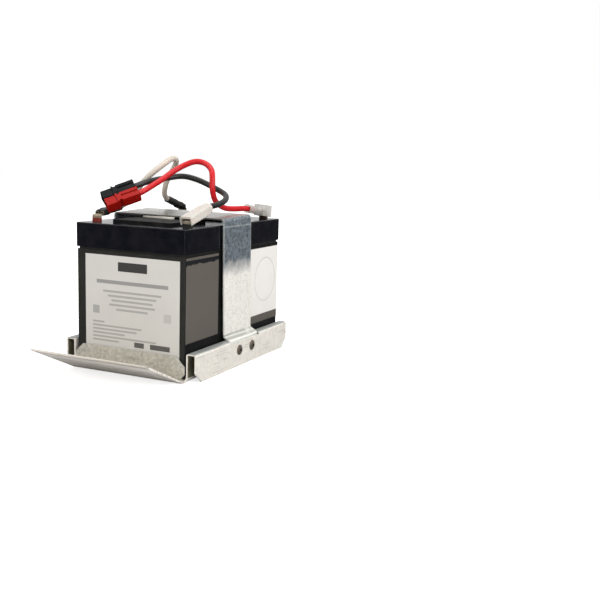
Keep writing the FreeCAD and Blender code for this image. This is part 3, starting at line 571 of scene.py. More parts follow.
@dataclass(frozen=True)
class MouldedPlastic(Finish):
    """Moulded plastic: fine tool grain, dust and, where asked, painted shade on its sides."""

    grain_mm: float = 0.8
    grain_depth_mm: float = 0.03
    dust: float = 0.04
    dust_colour: str = "a9a69f"
    side_shade_colour: str = ""
    side_from: float = 44.5

    def vary(self, paint: Painter) -> None:
        """Grain as relief, dust as a pale veil, painted shade on the sides and a broken sheen.

        Args:
            paint: Painter on object coordinates, with the Principled shader.
        """
        tone: Any = self.colour
        # Painted shade: faces farther out than side_from take a darker colour.
        if self.side_shade_colour:
            sideways = paint.add("SeparateXYZ", {"Vector": paint.place}, "X")
            out = paint.add("Math", {"operation": "ABSOLUTE", 0: sideways})
            at_shaded_side = paint.add("MapRange", {0: out, 1: (self.side_from - 0.3) * MM, 2: self.side_from * MM})
            tone = paint.add("Mix", {"data_type": "RGBA", 0: at_shaded_side, 6: tone, 7: self.side_shade_colour}, 2)
        veil = paint.patches(size_mm=9.0, high=self.dust, detail=6.0, ends=(0.42, 0.8))
        paint.feed("Base Color", paint.add("Mix", {
            "data_type": "RGBA", 0: veil, 6: tone, 7: self.dust_colour}, 2))
        paint.shine(self.roughness, size_mm=5.0, less=0.05, more=0.08, detail=6.0)
        paint.relief(self.grain_mm, self.grain_depth_mm, strength=0.5, detail=2.0)


@dataclass(frozen=True)
class PrintBlock:
    """Plain bars under each other, where such a sticker has its print; sizes in millimetres."""

    middle: float
    top: float
    height: float
    pitch: float
    widths: tuple[float, ...]
    ink: str
    from_left: bool = False

    def bars(self) -> list[tuple[float, float, float, float]]:
        """List each bar's two ends across and its two heights.

        Returns:
            Left end, right end, lower edge and upper edge of each bar.
        """
        found = []
        for row, width in enumerate(self.widths):
            start = self.middle if self.from_left else self.middle - width / 2
            low = self.top - self.height - row * self.pitch
            found.append((start, start + width, low, low + self.height))
        return found


@dataclass(frozen=True)
class PrintedSticker(Finish):
    """Satin vinyl sticker with plain bars of print and no lettering."""

    across: Axis = Axis.X
    blocks: tuple[PrintBlock, ...] = ()

    def vary(self, paint: Painter) -> None:
        """Plain bars over a faint mottle.

        Args:
            paint: Painter on object coordinates, with the Principled shader.
        """
        mixed = paint.mottle(self.colour, size_mm=18.0, amount=0.02)
        parts = paint.add("SeparateXYZ", {"Vector": paint.place}).node.outputs
        for block in self.blocks:
            for left, right, low, high in block.bars():
                bar = paint.all_of(paint.within(parts[self.across.value], left, right),
                                   paint.within(parts["Z"], low, high))
                mixed = paint.add("Mix", {"data_type": "RGBA", 0: bar, 6: mixed, 7: block.ink}, 2)
        paint.feed("Base Color", mixed)
        paint.relief(size_mm=3.0, depth_mm=0.01, strength=0.25, detail=2.0)


@dataclass(frozen=True)
class RingSticker(PrintedSticker):
    """Sticker with one pale plain ring in its middle; sizes in millimetres."""

    ring_centre: Point = (0.0, 47.0, 57.0)
    ring_radius: float = 17.0
    ring_line: float = 0.7
    ring_ink: str = "cfccc7"

    def vary(self, paint: Painter) -> None:
        """Add the ring to the sticker.

        Args:
            paint: Painter on object coordinates, with the Principled shader.
        """
        PrintedSticker.vary(self, paint)
        bare = paint.fed("Base Color")
        centre = tuple(c * MM for c in self.ring_centre)
        flat = paint.add("VectorMath", {"operation": "MULTIPLY", 0: paint.place, 1: (0.0, 1.0, 1.0)})
        far = paint.add("VectorMath", {"operation": "DISTANCE", 0: flat, 1: centre}, "Value")
        half = self.ring_line / 2
        ring = paint.banded(far, self.ring_radius - half, self.ring_radius + half, 0.15)
        paint.feed("Base Color", paint.add("Mix", {
            "data_type": "RGBA", 0: ring, 6: bare, 7: self.ring_ink}, 2))


@dataclass(frozen=True)
class PanelWithPaintedReflection(PrintedSticker):
    """Grey printed panel with a painted dark reflection near its top: a band with a ragged lower edge under
    a paler rim.
    """

    reflection_dark_colour: str = "15161a"
    reflection_low: float = 79.2
    reflection_high: float = 82.3
    ragged_mm: float = 1.5

    def vary(self, paint: Painter) -> None:
        """Paint the dark reflection over the print, in a band with a ragged lower edge.

        Args:
            paint: Painter on object coordinates, with the Principled shader.
        """
        PrintedSticker.vary(self, paint)
        printed = paint.fed("Base Color")
        height = paint.add("SeparateXYZ", {"Vector": paint.place}, "Z")
        wave = self.ragged_mm * MM
        shift = paint.patches(size_mm=7.0, low=-wave, high=wave, detail=3.0)
        ragged = paint.add("Math", {"operation": "ADD", 0: height, 1: shift})
        # Painted reflection: a near-black band, ragged along its lower edge.
        bare = paint.all_of(
            paint.add("MapRange", {0: ragged, 1: (self.reflection_low - 0.2) * MM, 2: (self.reflection_low + 0.2) * MM}),
            paint.add("MapRange", {
                0: height, 1: (self.reflection_high - 0.2) * MM, 2: self.reflection_high * MM, 3: 1.0, 4: 0.0}))
        paint.feed("Base Color", paint.add("Mix", {
            "data_type": "RGBA", 0: bare, 6: printed, 7: self.reflection_dark_colour}, 2))


@dataclass(frozen=True)
class TranslucentPlastic(Finish):
    """Unfilled nylon or soft vinyl that light passes through."""

    alpha: float = 1.0
    scatter: float = 0.3
    scatter_mm: float = 1.2

    def vary(self, paint: Painter) -> None:
        """Cloudy colour, with light let through or scattered inside.

        Args:
            paint: Painter on object coordinates, with the Principled shader.
        """
        paint.mottle(self.colour, size_mm=4.0, amount=0.05)
        for name, value in (("Alpha", self.alpha), ("Subsurface Weight", self.scatter),
                            ("Subsurface Scale", self.scatter_mm * MM)):
            paint.shader.inputs[name].default_value = value
        paint.relief(size_mm=4.0, depth_mm=0.03, strength=0.3, detail=2.0)


@dataclass(frozen=True)
class WireInsulation(Finish):
    """Extruded vinyl insulation with a faint mottle and a soft shine."""

    mottle_share: float = 0.08

    def vary(self, paint: Painter) -> None:
        """A slow mottle and a change of shine."""
        paint.mottle(self.colour, size_mm=7.0, amount=self.mottle_share)
        paint.shine(self.roughness, size_mm=6.0, less=0.04, more=0.08, detail=1.0)


@dataclass(frozen=True)
class PlatedMetal(Finish):
    """Stamped and plated metal: fine rolling lines and dull spots."""

    line_mm: float = 0.4

    def vary(self, paint: Painter) -> None:
        """Rolling lines as relief and a patchy shine.

        Args:
            paint: Painter on object coordinates, with the Principled shader.
        """
        paint.mottle(self.colour, size_mm=2.5, amount=0.12)
        paint.shine(self.roughness, size_mm=1.5, less=0.08, more=0.12)
        paint.drawn_long((1.0, 0.1, 1.0)).relief(self.line_mm, depth_mm=0.02, strength=0.4)


# Hot-dip galvanised steel is pale and matt with a blurred shine; dirt and oxide dull its metal, so it is
# mostly diffuse. Its fine spangle is drawn up to 2.4 mm wide, or else it would not show.
TRAY_SHEET = TraySheet("galvanised_tray_sheet", "f0ebe2", 0.44, 0.2, scratch_axis=Axis.Y, contrast=0.05,
                       scratch_colour="8c8373", scratch_amount=0.9, speck_share=0.08)
HOOP_SHEET = HoopSheet("galvanised_hoop_sheet", "f8f5ed", 0.44, 0.2, contrast=0.04, scratch_amount=0.25,
                       speck_share=0.03)
CRADLE_SHEET = GalvanisedSheet("galvanised_cradle_sheet", "c4c1b5", 0.48, 0.2, spangle_mm=1.6,
                               scratch_axis=Axis.X, contrast=0.13, scratch_colour="908a7c",
                               scratch_amount=0.6)
# Closed-cell foam tape: chalky and without a highlight.
FOAM_TAPE = MouldedPlastic("foam_tape", "f1ebe1", 0.8, specular=0.2, grain_mm=0.6, grain_depth_mm=0.08)
# Zinc-plated steel gone dull and brown in the rivets' heads, and the broken ends of their mandrels, near
# black as painted shade of the hollow in each head.
RIVET_STEEL = PlatedMetal("rivet_steel", "786d63", 0.40, 0.7)
MANDREL_STEEL_IN_SHADE = PlatedMetal("mandrel_steel_painted_shade", "2b2825", 0.45, 0.6)
# Moulded ABS: satin on the containers, wiped to a blue-black gloss on the lids and matt on the vent
# covers. Tool grain is finer than this and is drawn coarse enough to break the sheen.
# The containers' sides carry painted shade.
CONTAINER_ABS = MouldedPlastic("container_abs", "262623", 0.5, specular=0.15, grain_mm=0.9,
                               grain_depth_mm=0.02, dust=0.02, side_shade_colour="0c0d0e")
LID_ABS = MouldedPlastic("lid_abs", "080911", 0.14, specular=0.35, grain_mm=6.0, grain_depth_mm=0.01,
                         dust=0.02)
VENT_ABS = MouldedPlastic("vent_cover_abs", "0e0e0e", 0.55, specular=0.12, grain_mm=0.7, dust=0.035)
# Coated vinyl stickers: warm white with a weak, even sheen, and grey ink that is duller still.
FRONT_STICKER = PrintedSticker("front_sticker", "cbc8c2", 0.42, specular=0.3, blocks=(
    PrintBlock(2.5, 77.6, 6.4, 0.0, (24.0,), "3c3b3a"),
    PrintBlock(2.0, 64.5, 2.6, 0.0, (59.0,), "94928f"),
    PrintBlock(2.0, 57.4, 1.5, 3.1, (48.0, 40.0, 34.0, 38.0, 26.0), "a6a4a0"),
    PrintBlock(-31.0, 35.2, 1.3, 2.6, (10.0, 41.0, 37.0, 27.0, 53.0, 22.0), "a6a4a0", True),
    PrintBlock(8.0, 22.8, 3.6, 0.0, (8.0,), "5a5855"),
    PrintBlock(25.0, 22.8, 3.6, 0.0, (16.0,), "5a5855"),
    PrintBlock(-28.0, 46.0, 5.6, 0.0, (5.6,), "a4a29e"),
    PrintBlock(31.0, 45.0, 6.0, 0.0, (6.0,), "b9b6b2")))
SIDE_STICKER = RingSticker("side_sticker", "eae6e1", 0.42, specular=0.3)
# Printed grey panels with a painted dark reflection near their top.
SIDE_PANEL = PanelWithPaintedReflection("side_panel_ink", "5e5953", 0.6, specular=0.2, across=Axis.Y, blocks=(
    PrintBlock(0.0, 84.0, 1.6, 0.0, (200.0,), "5c564f"),))
# Poured epoxy: smooth, with a small highlight, red-brown on the positive poles and near black on the
# negative ones. The rear positive seal is that red-brown darkened as painted shade.
POSITIVE_SEAL = MouldedPlastic("positive_epoxy_seal", "7c2f22", 0.35, specular=0.3)
# Painted shade: the positive seal's red-brown, darkened.
POSITIVE_SEAL_IN_SHADE = MouldedPlastic("positive_epoxy_seal_painted_shade", "34261e", 0.35, specular=0.3)
NEGATIVE_SEAL = MouldedPlastic("negative_epoxy_seal", "1c1e1a", 0.3, specular=0.3)
# Tinned brass: grey with a little yellow, softly reflecting.
TINNED_BRASS = PlatedMetal("tinned_brass", "a69c88", 0.38, 0.7)
# Unfilled nylon glows a little at its edges; soft clear vinyl lets what is under it through.
NYLON = TranslucentPlastic("nylon_insulator", "cfc8bf", 0.38, specular=0.35, scatter=0.12)
CLEAR_VINYL = TranslucentPlastic("clear_vinyl", "cfcac4", 0.2, alpha=0.42, scatter=0.0)
# Polyolefin sleeve: black with a waxy, rippled shine.
HEAT_SHRINK = MouldedPlastic("heat_shrink", "191815", 0.40, specular=0.4, grain_mm=2.2, grain_depth_mm=0.12)
# Extruded vinyl insulation: strong even colour and a long soft highlight.
RED_VINYL = WireInsulation("red_lead_vinyl", "c8121b", 0.34, specular=0.35)
BLACK_VINYL = WireInsulation("black_lead_vinyl", "1c1c1b", 0.36, specular=0.45)
WHITE_VINYL = WireInsulation("white_lead_vinyl", "cfc4b7", 0.4, specular=0.3, mottle_share=0.04)
# Moulded polycarbonate: even colour, matt from handling.
RED_HOUSING = MouldedPlastic("red_polycarbonate", "9c130c", 0.42, specular=0.1, grain_depth_mm=0.01,
                             dust=0.02)
BLACK_HOUSING = MouldedPlastic("black_polycarbonate", "121416", 0.5, specular=0.08, grain_depth_mm=0.01,
                               dust=0.03)
# Silver-plated copper: bright and almost white.
SILVER_PLATE = PlatedMetal("silver_plate", "c9c6c0", 0.25, 1.0)


@dataclass
class Wardrobe:
    """Builds each finish once and puts it on nodes and new pieces."""

    made: dict[str, bpy.types.Material] = field(default_factory=dict)

    def material(self, finish: Finish) -> bpy.types.Material:
        """Look up a finish's material, and build it on first use.

        Args:
            finish: The finish.

        Returns:
            Its material.
        """
        if finish.name not in self.made:
            self.made[finish.name] = finish.build()
        return self.made[finish.name]

    def dress(self, **finishes: Finish) -> None:
        """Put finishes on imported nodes.

        Args:
            finishes: Each node's name and its finish.
        """
        for node, finish in finishes.items():
            materials = bpy.data.objects[node].data.materials
            materials.clear()
            materials.append(self.material(finish))
            LOG.info("dressed %s in %s", node, finish.name)


class SubAssembly:
    """Pieces of the cartridge that are modelled or dressed together."""

    def build(self, wardrobe: Wardrobe) -> None:
        """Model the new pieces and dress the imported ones.

        Args:
            wardrobe: Gives the finishes.
        """
        raise NotImplementedError


# ---- camera and studio
@dataclass(frozen=True)
class SoftBox:
    """Square area lamp that faces a target; its size is in metres and its power in watts."""

    name: str
    place: Point
    target: Point
    size: float
    power: float

    def build(self) -> None:
        """Hang the lamp."""
        data = bpy.data.lights.new(self.name, "AREA")
        data.size = self.size
        data.energy = self.power
        lamp = bpy.data.objects.new(self.name, data)
        bpy.context.scene.collection.objects.link(lamp)
        facing = (Vector(self.target) - Vector(self.place)).to_track_quat("-Z", "Y")
        lamp.matrix_world = Matrix.Translation(self.place) @ facing.to_matrix().to_4x4()


LAMPS = (SoftBox("top_softbox", (0.1, -0.15, 1.1), (0.0, 0.0, 0.05), 0.9, 8.5),
         SoftBox("left_softbox", (-0.9, -0.9, 0.7), (0.0, 0.0, 0.06), 0.8, 3.6),
         SoftBox("right_softbox", (1.1, -0.35, 0.55), (0.0, 0.0, 0.05), 0.8, 7.2),
         SoftBox("front_fill", (0.12, -1.3, 0.14), (0.0, -0.08, 0.03), 0.5, 3.4))


@dataclass(frozen=True)
class Studio:
    """Camera, soft lamps, pale floor and white backdrop."""

    position: Point = (0.34424, -0.54769, 0.15393)
    azimuth: float = 24.35
    elevation: float = 9.185
    roll: float = 1.807
    lens: float = 51.215
    sensor: float = 36.0
    shift: tuple[float, float] = (0.0009, -0.0114)
    clip: tuple[float, float] = (0.01, 20.0)
    ambient: float = 0.36
    bright_way: Point = (-0.4, 0.9, 0.35)
    dark_side: float = 0.06
    bright_side: float = 0.85
    floor_half: float = 3.0
    floor_drop: float = 0.0002
    floor_colour: str = "ececec"
    floor_reflected: str = "5a5a5c"
    glow_radii: tuple[float, float] = (0.12, 0.35)
    near_glow: float = 0.66

    def camera(self) -> None:
        """Place the camera at the object's front right, a little above it."""
        data = bpy.data.cameras.new("studio_camera")
        data.lens = self.lens
        data.sensor_width = self.sensor
        data.shift_x, data.shift_y = self.shift
        data.clip_start, data.clip_end = self.clip
        camera = bpy.data.objects.new("studio_camera", data)
        bpy.context.scene.collection.objects.link(camera)
        turn = Matrix.Translation(self.position)
        for degrees, axis in ((self.azimuth, "Z"), (90.0 - self.elevation, "X"), (self.roll, "Z")):
            turn = turn @ Matrix.Rotation(math.radians(degrees), 4, axis)
        camera.matrix_world = turn
        bpy.context.scene.camera = camera

    def backdrop(self) -> None:
        """White to the camera, white behind in reflections, softer as a light."""
        world = bpy.data.worlds.new("white_room")
        bpy.context.scene.world = world
        paint = cleared(world)
        ray = paint.add("LightPath").node.outputs
        seen = paint.add("Math", {
            "operation": "MAXIMUM", 0: ray["Is Camera Ray"], 1: ray["Is Transmission Ray"]})
        strength = paint.add("MapRange", {0: seen, 3: self.ambient})
        way = paint.add("TexCoord", output="Generated")
        away = paint.add("VectorMath", {"operation": "DOT_PRODUCT", 0: way, 1: self.bright_way}, "Value")
        white = paint.add("MapRange", {0: away, 1: -0.5, 2: 0.7, 3: self.dark_side, 4: self.bright_side})
        white = paint.all_of(ray["Is Glossy Ray"], white)
        strength = paint.add("Math", {"operation": "MAXIMUM", 0: strength, 1: white})
        light = paint.add("Background", {"Color": WHITE, "Strength": strength})
        paint.add("OutputWorld", {"Surface": light})

    def floor(self) -> None:
        """Pale floor that keeps the shadow and turns white away from it."""
        bpy.ops.object.select_all(action="DESELECT")
        bpy.ops.mesh.primitive_plane_add(size=2 * self.floor_half, location=(0, 0, -self.floor_drop))
        floor = bpy.context.object
        floor.name = "studio_floor"
        bpy.ops.object.transform_apply()
        material = bpy.data.materials.new("pale_floor")
        paint = cleared(material)
        ray = paint.add("LightPath").node.outputs
        tone = paint.add("Mix", {"data_type": "RGBA", 0: ray["Is Glossy Ray"], 6: self.floor_colour,
                                 7: self.floor_reflected}, 2)
        matt = paint.add("BsdfDiffuse", {"Color": tone})
        seen = paint.add("Math", {
            "operation": "MAXIMUM", 0: ray["Is Camera Ray"], 1: ray["Is Transmission Ray"]})
        place = paint.add("TexCoord", output="Object")
        far = paint.add("VectorMath", {"operation": "LENGTH", 0: place}, "Value")
        near, away = self.glow_radii
        glow = paint.add("MapRange", {0: far, 1: near, 2: away, 3: self.near_glow})
        glow = paint.add("Emission", {"Color": WHITE, "Strength": paint.all_of(seen, glow)})
        paint.add("OutputMaterial", {"Surface": paint.add("AddShader", {0: matt, 1: glow})})
        floor.data.materials.append(material)

    def build(self) -> None:
        """Set up everything round the object."""
        self.camera()
        self.backdrop()
        self.floor()
        for lamp in LAMPS:
            lamp.build()
        bpy.context.scene.view_settings.view_transform = "Standard"
        LOG.info("studio ready")


# ---- leads
@dataclass
class Lead(SubAssembly):
    """One insulated wire on its route, with the names of the fittings at its far end."""

    node: str
    material_slot: str
    finish: Finish
    route: Sequence[Point]
    length: float
    far_end: str
    fittings: tuple[str, ...] = ()
    diameter: float = 0.0042
    round_steps: int = 6
    long_steps: int = 12

    def build(self, wardrobe: Wardrobe) -> None:
        """Args:
            wardrobe: Gives the finishes.
        """
        name = self.node + "_wire"
        data = bpy.data.curves.new(name, "CURVE")
        data.dimensions = "3D"
        data.bevel_depth = self.diameter / 2
        data.bevel_resolution = self.round_steps
        data.resolution_u = self.long_steps
        data.use_fill_caps = True
        spline = data.splines.new("NURBS")
        spline.points.add(len(self.route) - 1)
        for point, place in zip(spline.points, self.route):
            point.co = (*(c * MM for c in place), 1.0)
        spline.order_u = 3
        spline.use_endpoint_u = True
        spline.use_smooth = True
        piece = bpy.data.objects.new(name, data)
        bpy.context.scene.collection.objects.link(piece)
        data.materials.append(wardrobe.material(self.finish))
        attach(piece, "root")
        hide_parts(self.node)
        LOG.info("lead %s, %.0f mm", name, self.length / MM)


RED_ROUTE: tuple[Point, ...] = (
    (36.79, 41.01, 110.98), (36.22, 28.94, 112.68), (33.2, 16.4, 112.5), (29.6, 6.8, 113.1),
    (26.4, -1.2, 118.3), (26.0, -4.5, 127.0), (25.6, -3.7, 134.9), (23.3, -0.6, 141.6),
    (16.3, 1.8, 146.1), (7.5, 1.6, 147.3), (-0.3, -2.2, 143.6), (-5.4, -9.0, 138.8),
    (-8.7, -17.5, 133.1), (-11.0, -25.4, 129.2), (-12.6, -30.8, 126.4), (-14.92, -35.99, 123.62),
    (-17.44, -38.77, 122.25))
BLACK_ROUTE: tuple[Point, ...] = (
    (38.11, -37.6, 114.34), (38.34, -30.89, 116.32), (40.6, -24.1, 117.2), (42.1, -17.7, 118.8),
    (41.3, -10.1, 121.3), (36.5, -3.0, 123.9), (28.3, 2.3, 126.3), (18.2, 5.3, 129.5),
    (7.5, 5.7, 133.5), (-2.9, 1.7, 136.1), (-10.2, -7.1, 134.3), (-14.1, -17.8, 132.8),
    (-16.8, -26.5, 131.0), (-19.64, -32.15, 128.89), (-23.11, -35.98, 127.0))
WHITE_ROUTE: tuple[Point, ...] = (
    (-37.5, -34.82, 111.66), (-37.5, -24.91, 112.97), (-35.2, -17.3, 119.5), (-31.1, -13.8, 127.0),
    (-25.6, -12.6, 133.6), (-19.6, -10.4, 139.2), (-15.3, -4.4, 144.7), (-14.1, 2.6, 148.2),
    (-14.6, 8.6, 148.4), (-16.4, 13.6, 146.5), (-20.1, 17.8, 143.1), (-25.6, 21.0, 138.2),
    (-31.0, 23.0, 131.9), (-34.6, 24.9, 124.3), (-37.5, 29.34, 117.08), (-37.5, 37.66, 114.53))


LEADS = (
    Lead("red_lead", "lead_red", RED_VINYL, RED_ROUTE, 0.1419, "connector",
         ("red_housing", "red_contact", "red_contact_spring", "housing_roll_pin")),
    Lead("black_lead", "lead_black", BLACK_VINYL, BLACK_ROUTE, 0.1253, "connector",
         ("black_housing", "black_contact", "black_contact_spring")),
    Lead("white_jumper", "lead_white", WHITE_VINYL, WHITE_ROUTE, 0.1233, "object"))


# ---- new pieces
def roughened(piece: bpy.types.Object, name: str, clouds_name: str, size_mm: float,
              strength_mm: float) -> bpy.types.Modifier:
    """Move a piece's surface in and out by cloud noise.

    Args:
        piece: The piece.
        name: The modifier's name.
        clouds_name: The noise texture's name.
        size_mm: Distance between clouds.
        strength_mm: Largest move.

    Returns:
        The new modifier, not applied yet.
    """
    clouds = bpy.data.textures.new(clouds_name, "CLOUDS")
    clouds.noise_scale = size_mm * MM
    modifier = piece.modifiers.new(name, "DISPLACE")
    modifier.texture = clouds
    modifier.texture_coords = "LOCAL"
    modifier.strength = strength_mm * MM
    return modifier


def finished(piece: bpy.types.Object, name: str, material: bpy.types.Material) -> None:
    """Args:
        piece: The piece, active and selected.
        name: Its name.
        material: Its material.
    """
    piece.name = name
    bpy.ops.object.transform_apply()
    for modifier in list(piece.modifiers):
        bpy.ops.object.modifier_apply(modifier=modifier.name)
    bpy.ops.object.mode_set(mode="EDIT")
    bpy.ops.mesh.select_all(action="SELECT")
    bpy.ops.mesh.normals_make_consistent()
    bpy.ops.object.mode_set(mode="OBJECT")
    piece.data.materials.append(material)
    bpy.ops.object.shade_smooth_by_angle(angle=math.radians(35))
    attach(piece, "root")
    LOG.info("modelled %s", name)


@dataclass(frozen=True)
class Ring:
    """One ring of a sleeve, in millimetres from the receptacle's mouth."""

    along: float
    wide: float
    high: float
    up: float


BOOT_RINGS = tuple(Ring(*sizes) for sizes in (
    (0.6, 7.6, 3.7, 0.5), (1.6, 8.9, 4.9, 0.7), (3.8, 8.4, 4.3, 0.6), (6.0, 9.0, 5.3, 0.9),
    (7.6, 8.0, 5.0, 0.9), (9.2, 6.2, 4.9, 0.8), (10.8, 5.3, 5.2, 1.0), (13.0, 5.5, 5.1, 1.1),
    (15.4, 5.1, 5.3, 1.0), (18.0, 5.4, 5.1, 1.1), (21.0, 5.1, 5.2, 1.0), (24.2, 5.2, 5.1, 1.05)))


@dataclass(frozen=True)
class ShrinkBoot(SubAssembly):
    """Shrink sleeve drawn tight over a receptacle and the start of its lead.

    Its sizes are in millimetres and its yaw and climb in degrees.
    """

    pole: str
    yaw: float
    climb: float
    above_blade: float = 0.85
    corner: float = 0.40
    sheet: float = 0.5
    wrinkle: float = 0.45
    wrinkle_size: float = 2.6

    def mouth(self) -> Vector:
        """Find the receptacle's mouth from its box.

        Returns:
            The mouth's middle, on the blade's mid plane.
        """
        low, high = (Vector(corner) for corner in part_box(self.pole + "_receptacle"))
        y = low.y if self.yaw > 0 else high.y
        return Vector(((low.x + high.x) / 2, y, low.z + self.above_blade * MM))

    def build(self, wardrobe: Wardrobe) -> None:
        """Model the sleeve ring by ring and give it wrinkles.

        Args:
            wardrobe: Gives the finishes.
        """
        name = self.pole + "_shrink_boot"
        first = BOOT_RINGS[0]
        centre = (first.along * MM, 0.0, first.up * MM)
        bpy.ops.object.select_all(action="DESELECT")
        bpy.ops.mesh.primitive_plane_add(size=1.0, rotation=(0.0, math.pi / 2, 0.0), location=centre)
        piece = bpy.context.object
        bpy.ops.object.transform_apply()
        bpy.ops.object.mode_set(mode="EDIT")
        bpy.ops.mesh.select_all(action="SELECT")
        bpy.ops.transform.resize(value=(1.0, first.wide * MM, first.high * MM), center_override=centre)
        bpy.ops.mesh.bevel(offset=first.high * self.corner * MM, segments=4, affect="VERTICES")
        bpy.ops.mesh.delete(type="ONLY_FACE")
        bpy.ops.mesh.select_all(action="SELECT")
        for before, ring in zip(BOOT_RINGS, BOOT_RINGS[1:]):
            step = ((ring.along - before.along) * MM, 0.0, (ring.up - before.up) * MM)
            bpy.ops.mesh.extrude_region_move(TRANSFORM_OT_translate={"value": step})
            grow = (1.0, ring.wide / before.wide, ring.high / before.high)
            bpy.ops.transform.resize(value=grow, center_override=(ring.along * MM, 0.0, ring.up * MM))
        bpy.ops.object.mode_set(mode="OBJECT")
        self.soften(piece)
        piece.rotation_euler = (0.0, -math.radians(self.climb), math.radians(self.yaw))
        piece.location = self.mouth()
        finished(piece, name, wardrobe.material(HEAT_SHRINK))
        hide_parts(self.pole + "_boot")

    def soften(self, piece: bpy.types.Object) -> None:
        """Round the rings off, wrinkle them and give the sleeve its thickness.

        Args:
            piece: The sleeve.
        """
        rounding = piece.modifiers.new("rounding", "SUBSURF")
        rounding.levels = rounding.render_levels = 2
        folds = roughened(piece, "folds", self.pole + "_wrinkles", self.wrinkle_size, self.wrinkle)
        folds.mid_level = 0.6
        wall = piece.modifiers.new("wall", "SOLIDIFY")
        wall.thickness = self.sheet * MM
        wall.offset = -1.0


@dataclass(frozen=True)
class RivetMandrels(SubAssembly):
    """Broken mandrel ends that stand in the blind rivets' heads, in millimetres.

    Each neck step is an inset, as a share of the radius, and a move outwards.
    """

    side: str
    pitch: float = 19.2
    stub_r: float = 0.95
    stub_len: float = 1.25
    head_sink: float = 1.0
    neck_steps: tuple[tuple[float, float], ...] = ((0.35, 0.25), (0.25, -0.12))

    def build(self, wardrobe: Wardrobe) -> None:
        """Model two stubs with a necked end and join them.

        Args:
            wardrobe: Gives the finishes.
        """
        name = "mandrels_" + self.side
        low, high = (Vector(corner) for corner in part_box("rivets_" + self.side))
        sign, outer = (1.0, high.x) if self.side == "right" else (-1.0, low.x)
        x = outer - sign * (self.head_sink - self.stub_len / 2) * MM
        stubs = [self.stub((x, y * MM, (low.z + high.z) / 2), sign)
                 for y in (-self.pitch / 2, self.pitch / 2)]
        for stub in stubs:
            stub.select_set(True)
        bpy.context.view_layer.objects.active = stubs[0]
        bpy.ops.object.join()
        finished(bpy.context.object, name, wardrobe.material(MANDREL_STEEL_IN_SHADE))

    def stub(self, place: Point, sign: float) -> bpy.types.Object:
        """Model one stub and draw its outer face in to a blunt, dented point.

        Args:
            place: The stub's middle.
            sign: 1 where the outer face looks along +X, or else -1.

        Returns:
            The stub.
        """
        bpy.ops.object.select_all(action="DESELECT")
        bpy.ops.mesh.primitive_cylinder_add(vertices=24, radius=self.stub_r * MM, depth=self.stub_len * MM,
                                            location=place, rotation=(0.0, sign * math.pi / 2, 0.0))
        stub = bpy.context.object
        bpy.ops.object.transform_apply()
        bpy.ops.object.mode_set(mode="EDIT")
        bpy.ops.mesh.select_all(action="DESELECT")
        bpy.ops.object.mode_set(mode="OBJECT")
        for face in stub.data.polygons:
            face.select = face.normal.x * sign > 0.9
        bpy.ops.object.mode_set(mode="EDIT")
        for inward, outward in self.neck_steps:
            bpy.ops.mesh.inset(thickness=self.stub_r * inward * MM)
            bpy.ops.transform.translate(value=(sign * outward * MM, 0.0, 0.0))
        bpy.ops.object.mode_set(mode="OBJECT")
        return stub


@dataclass(frozen=True)
class FoamStrip(SubAssembly):
    """Strip of foam tape on the front vent cover, under the hoop's front edge.

    Its sizes are in millimetres and its skew in degrees.
    """

    length: float = 27.6
    depth: float = 4.0
    thick: float = 1.2
    centre: tuple[float, float] = (-7.8, -23.2)
    askew: float = -9.5
    cuts: int = 10
    torn: float = 0.5
    tear_size: float = 3.0
    edge: float = 0.12

    def build(self, wardrobe: Wardrobe) -> None:
        """Model the strip with softened edges and slightly torn sides.

        Args:
            wardrobe: Gives the finishes.
        """
        name = "vent_cover_foam_strip"
        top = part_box("front_vent_cover")[1][2]
        x, y = self.centre
        bpy.ops.object.select_all(action="DESELECT")
        bpy.ops.mesh.primitive_cube_add(size=1.0, location=(x * MM, y * MM, top + self.thick * MM / 2))
        piece = bpy.context.object
        piece.scale = (self.length * MM, self.depth * MM, self.thick * MM)
        piece.rotation_euler = (0.0, 0.0, math.radians(self.askew))
        bpy.ops.object.transform_apply(location=False, rotation=False, scale=True)
        bpy.ops.object.mode_set(mode="EDIT")
        bpy.ops.mesh.select_all(action="SELECT")
        bpy.ops.mesh.subdivide(number_cuts=self.cuts)
        bpy.ops.object.mode_set(mode="OBJECT")
        roughened(piece, "tears", "foam_tears", self.tear_size, self.torn).direction = "Y"
        edges = piece.modifiers.new("edges", "BEVEL")
        edges.width = self.edge * MM
        edges.segments = 2
        finished(piece, name, wardrobe.material(FOAM_TAPE))


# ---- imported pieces
@dataclass
class SteelWork(SubAssembly):
    """Folded tray, cradle, hoop and their blind rivets."""

    def build(self, wardrobe: Wardrobe) -> None:
        """Dress the steel and model the rivets' mandrels.

        Args:
            wardrobe: Gives the finishes.
        """
        wardrobe.dress(rail_tray=TRAY_SHEET, cradle_plate=CRADLE_SHEET, hoop_strap=HOOP_SHEET,
                       rivets_left=RIVET_STEEL, rivets_right=RIVET_STEEL)
        for side in ("left", "right"):
            RivetMandrels(side).build(wardrobe)


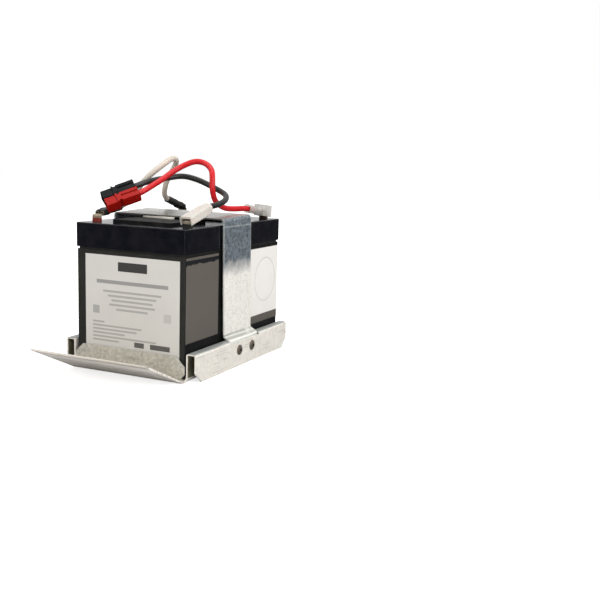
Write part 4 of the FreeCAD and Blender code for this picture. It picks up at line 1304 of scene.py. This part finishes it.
@dataclass
class Block(SubAssembly):
    """One sealed block with its lid, vent cover, seals, tabs and receptacles."""

    end: str
    positive_seal: Finish

    def build(self, wardrobe: Wardrobe) -> None:
        """Dress the block.

        Args:
            wardrobe: Gives the finishes.
        """
        for part, finish in (("container", CONTAINER_ABS), ("lid", LID_ABS), ("vent_cover", VENT_ABS)):
            wardrobe.dress(**{f"{self.end}_{part}": finish})
        for polarity in Polarity:
            seal = self.positive_seal if polarity is Polarity.POSITIVE else NEGATIVE_SEAL
            for part, finish in (("seal", seal), ("tab", TINNED_BRASS), ("receptacle", TINNED_BRASS)):
                wardrobe.dress(**{f"{self.end}_{polarity.value}_{part}": finish})


@dataclass
class Trim(SubAssembly):
    """Covers over the receptacles, the strip of tape and the bare stickers."""

    def build(self, wardrobe: Wardrobe) -> None:
        """Dress and model the trim.

        Args:
            wardrobe: Gives the finishes.
        """
        wardrobe.dress(front_negative_insulator=NYLON, rear_positive_cover=CLEAR_VINYL,
                       front_label=FRONT_STICKER, rear_side_label=SIDE_STICKER,
                       front_side_panel=SIDE_PANEL, rear_side_panel=SIDE_PANEL)
        FoamStrip().build(wardrobe)
        ShrinkBoot("front_positive", 90.0, 7.5).build(wardrobe)
        ShrinkBoot("rear_negative", -90.0, 17.0).build(wardrobe)


@dataclass
class ConnectorPair(SubAssembly):
    """The two keyed housings, their contacts and the roll pin."""

    def build(self, wardrobe: Wardrobe) -> None:
        """Dress the connector pair.

        Args:
            wardrobe: Gives the finishes.
        """
        wardrobe.dress(red_housing=RED_HOUSING, black_housing=BLACK_HOUSING, red_contact=SILVER_PLATE,
                       red_contact_spring=SILVER_PLATE, black_contact=SILVER_PLATE,
                       black_contact_spring=SILVER_PLATE, housing_roll_pin=RIVET_STEEL)


def main() -> None:
    """Build the studio and the sub-assemblies in order."""
    logging.basicConfig(level=logging.INFO, format="%(message)s")
    wardrobe = Wardrobe()
    Studio().build()
    for part in (*LEADS, SteelWork(), Block("front", POSITIVE_SEAL), Block("rear", POSITIVE_SEAL_IN_SHADE), Trim(),
                 ConnectorPair()):
        part.build(wardrobe)
        LOG.info("finished %s", type(part).__name__)


if __name__ == "__main__":
    main()
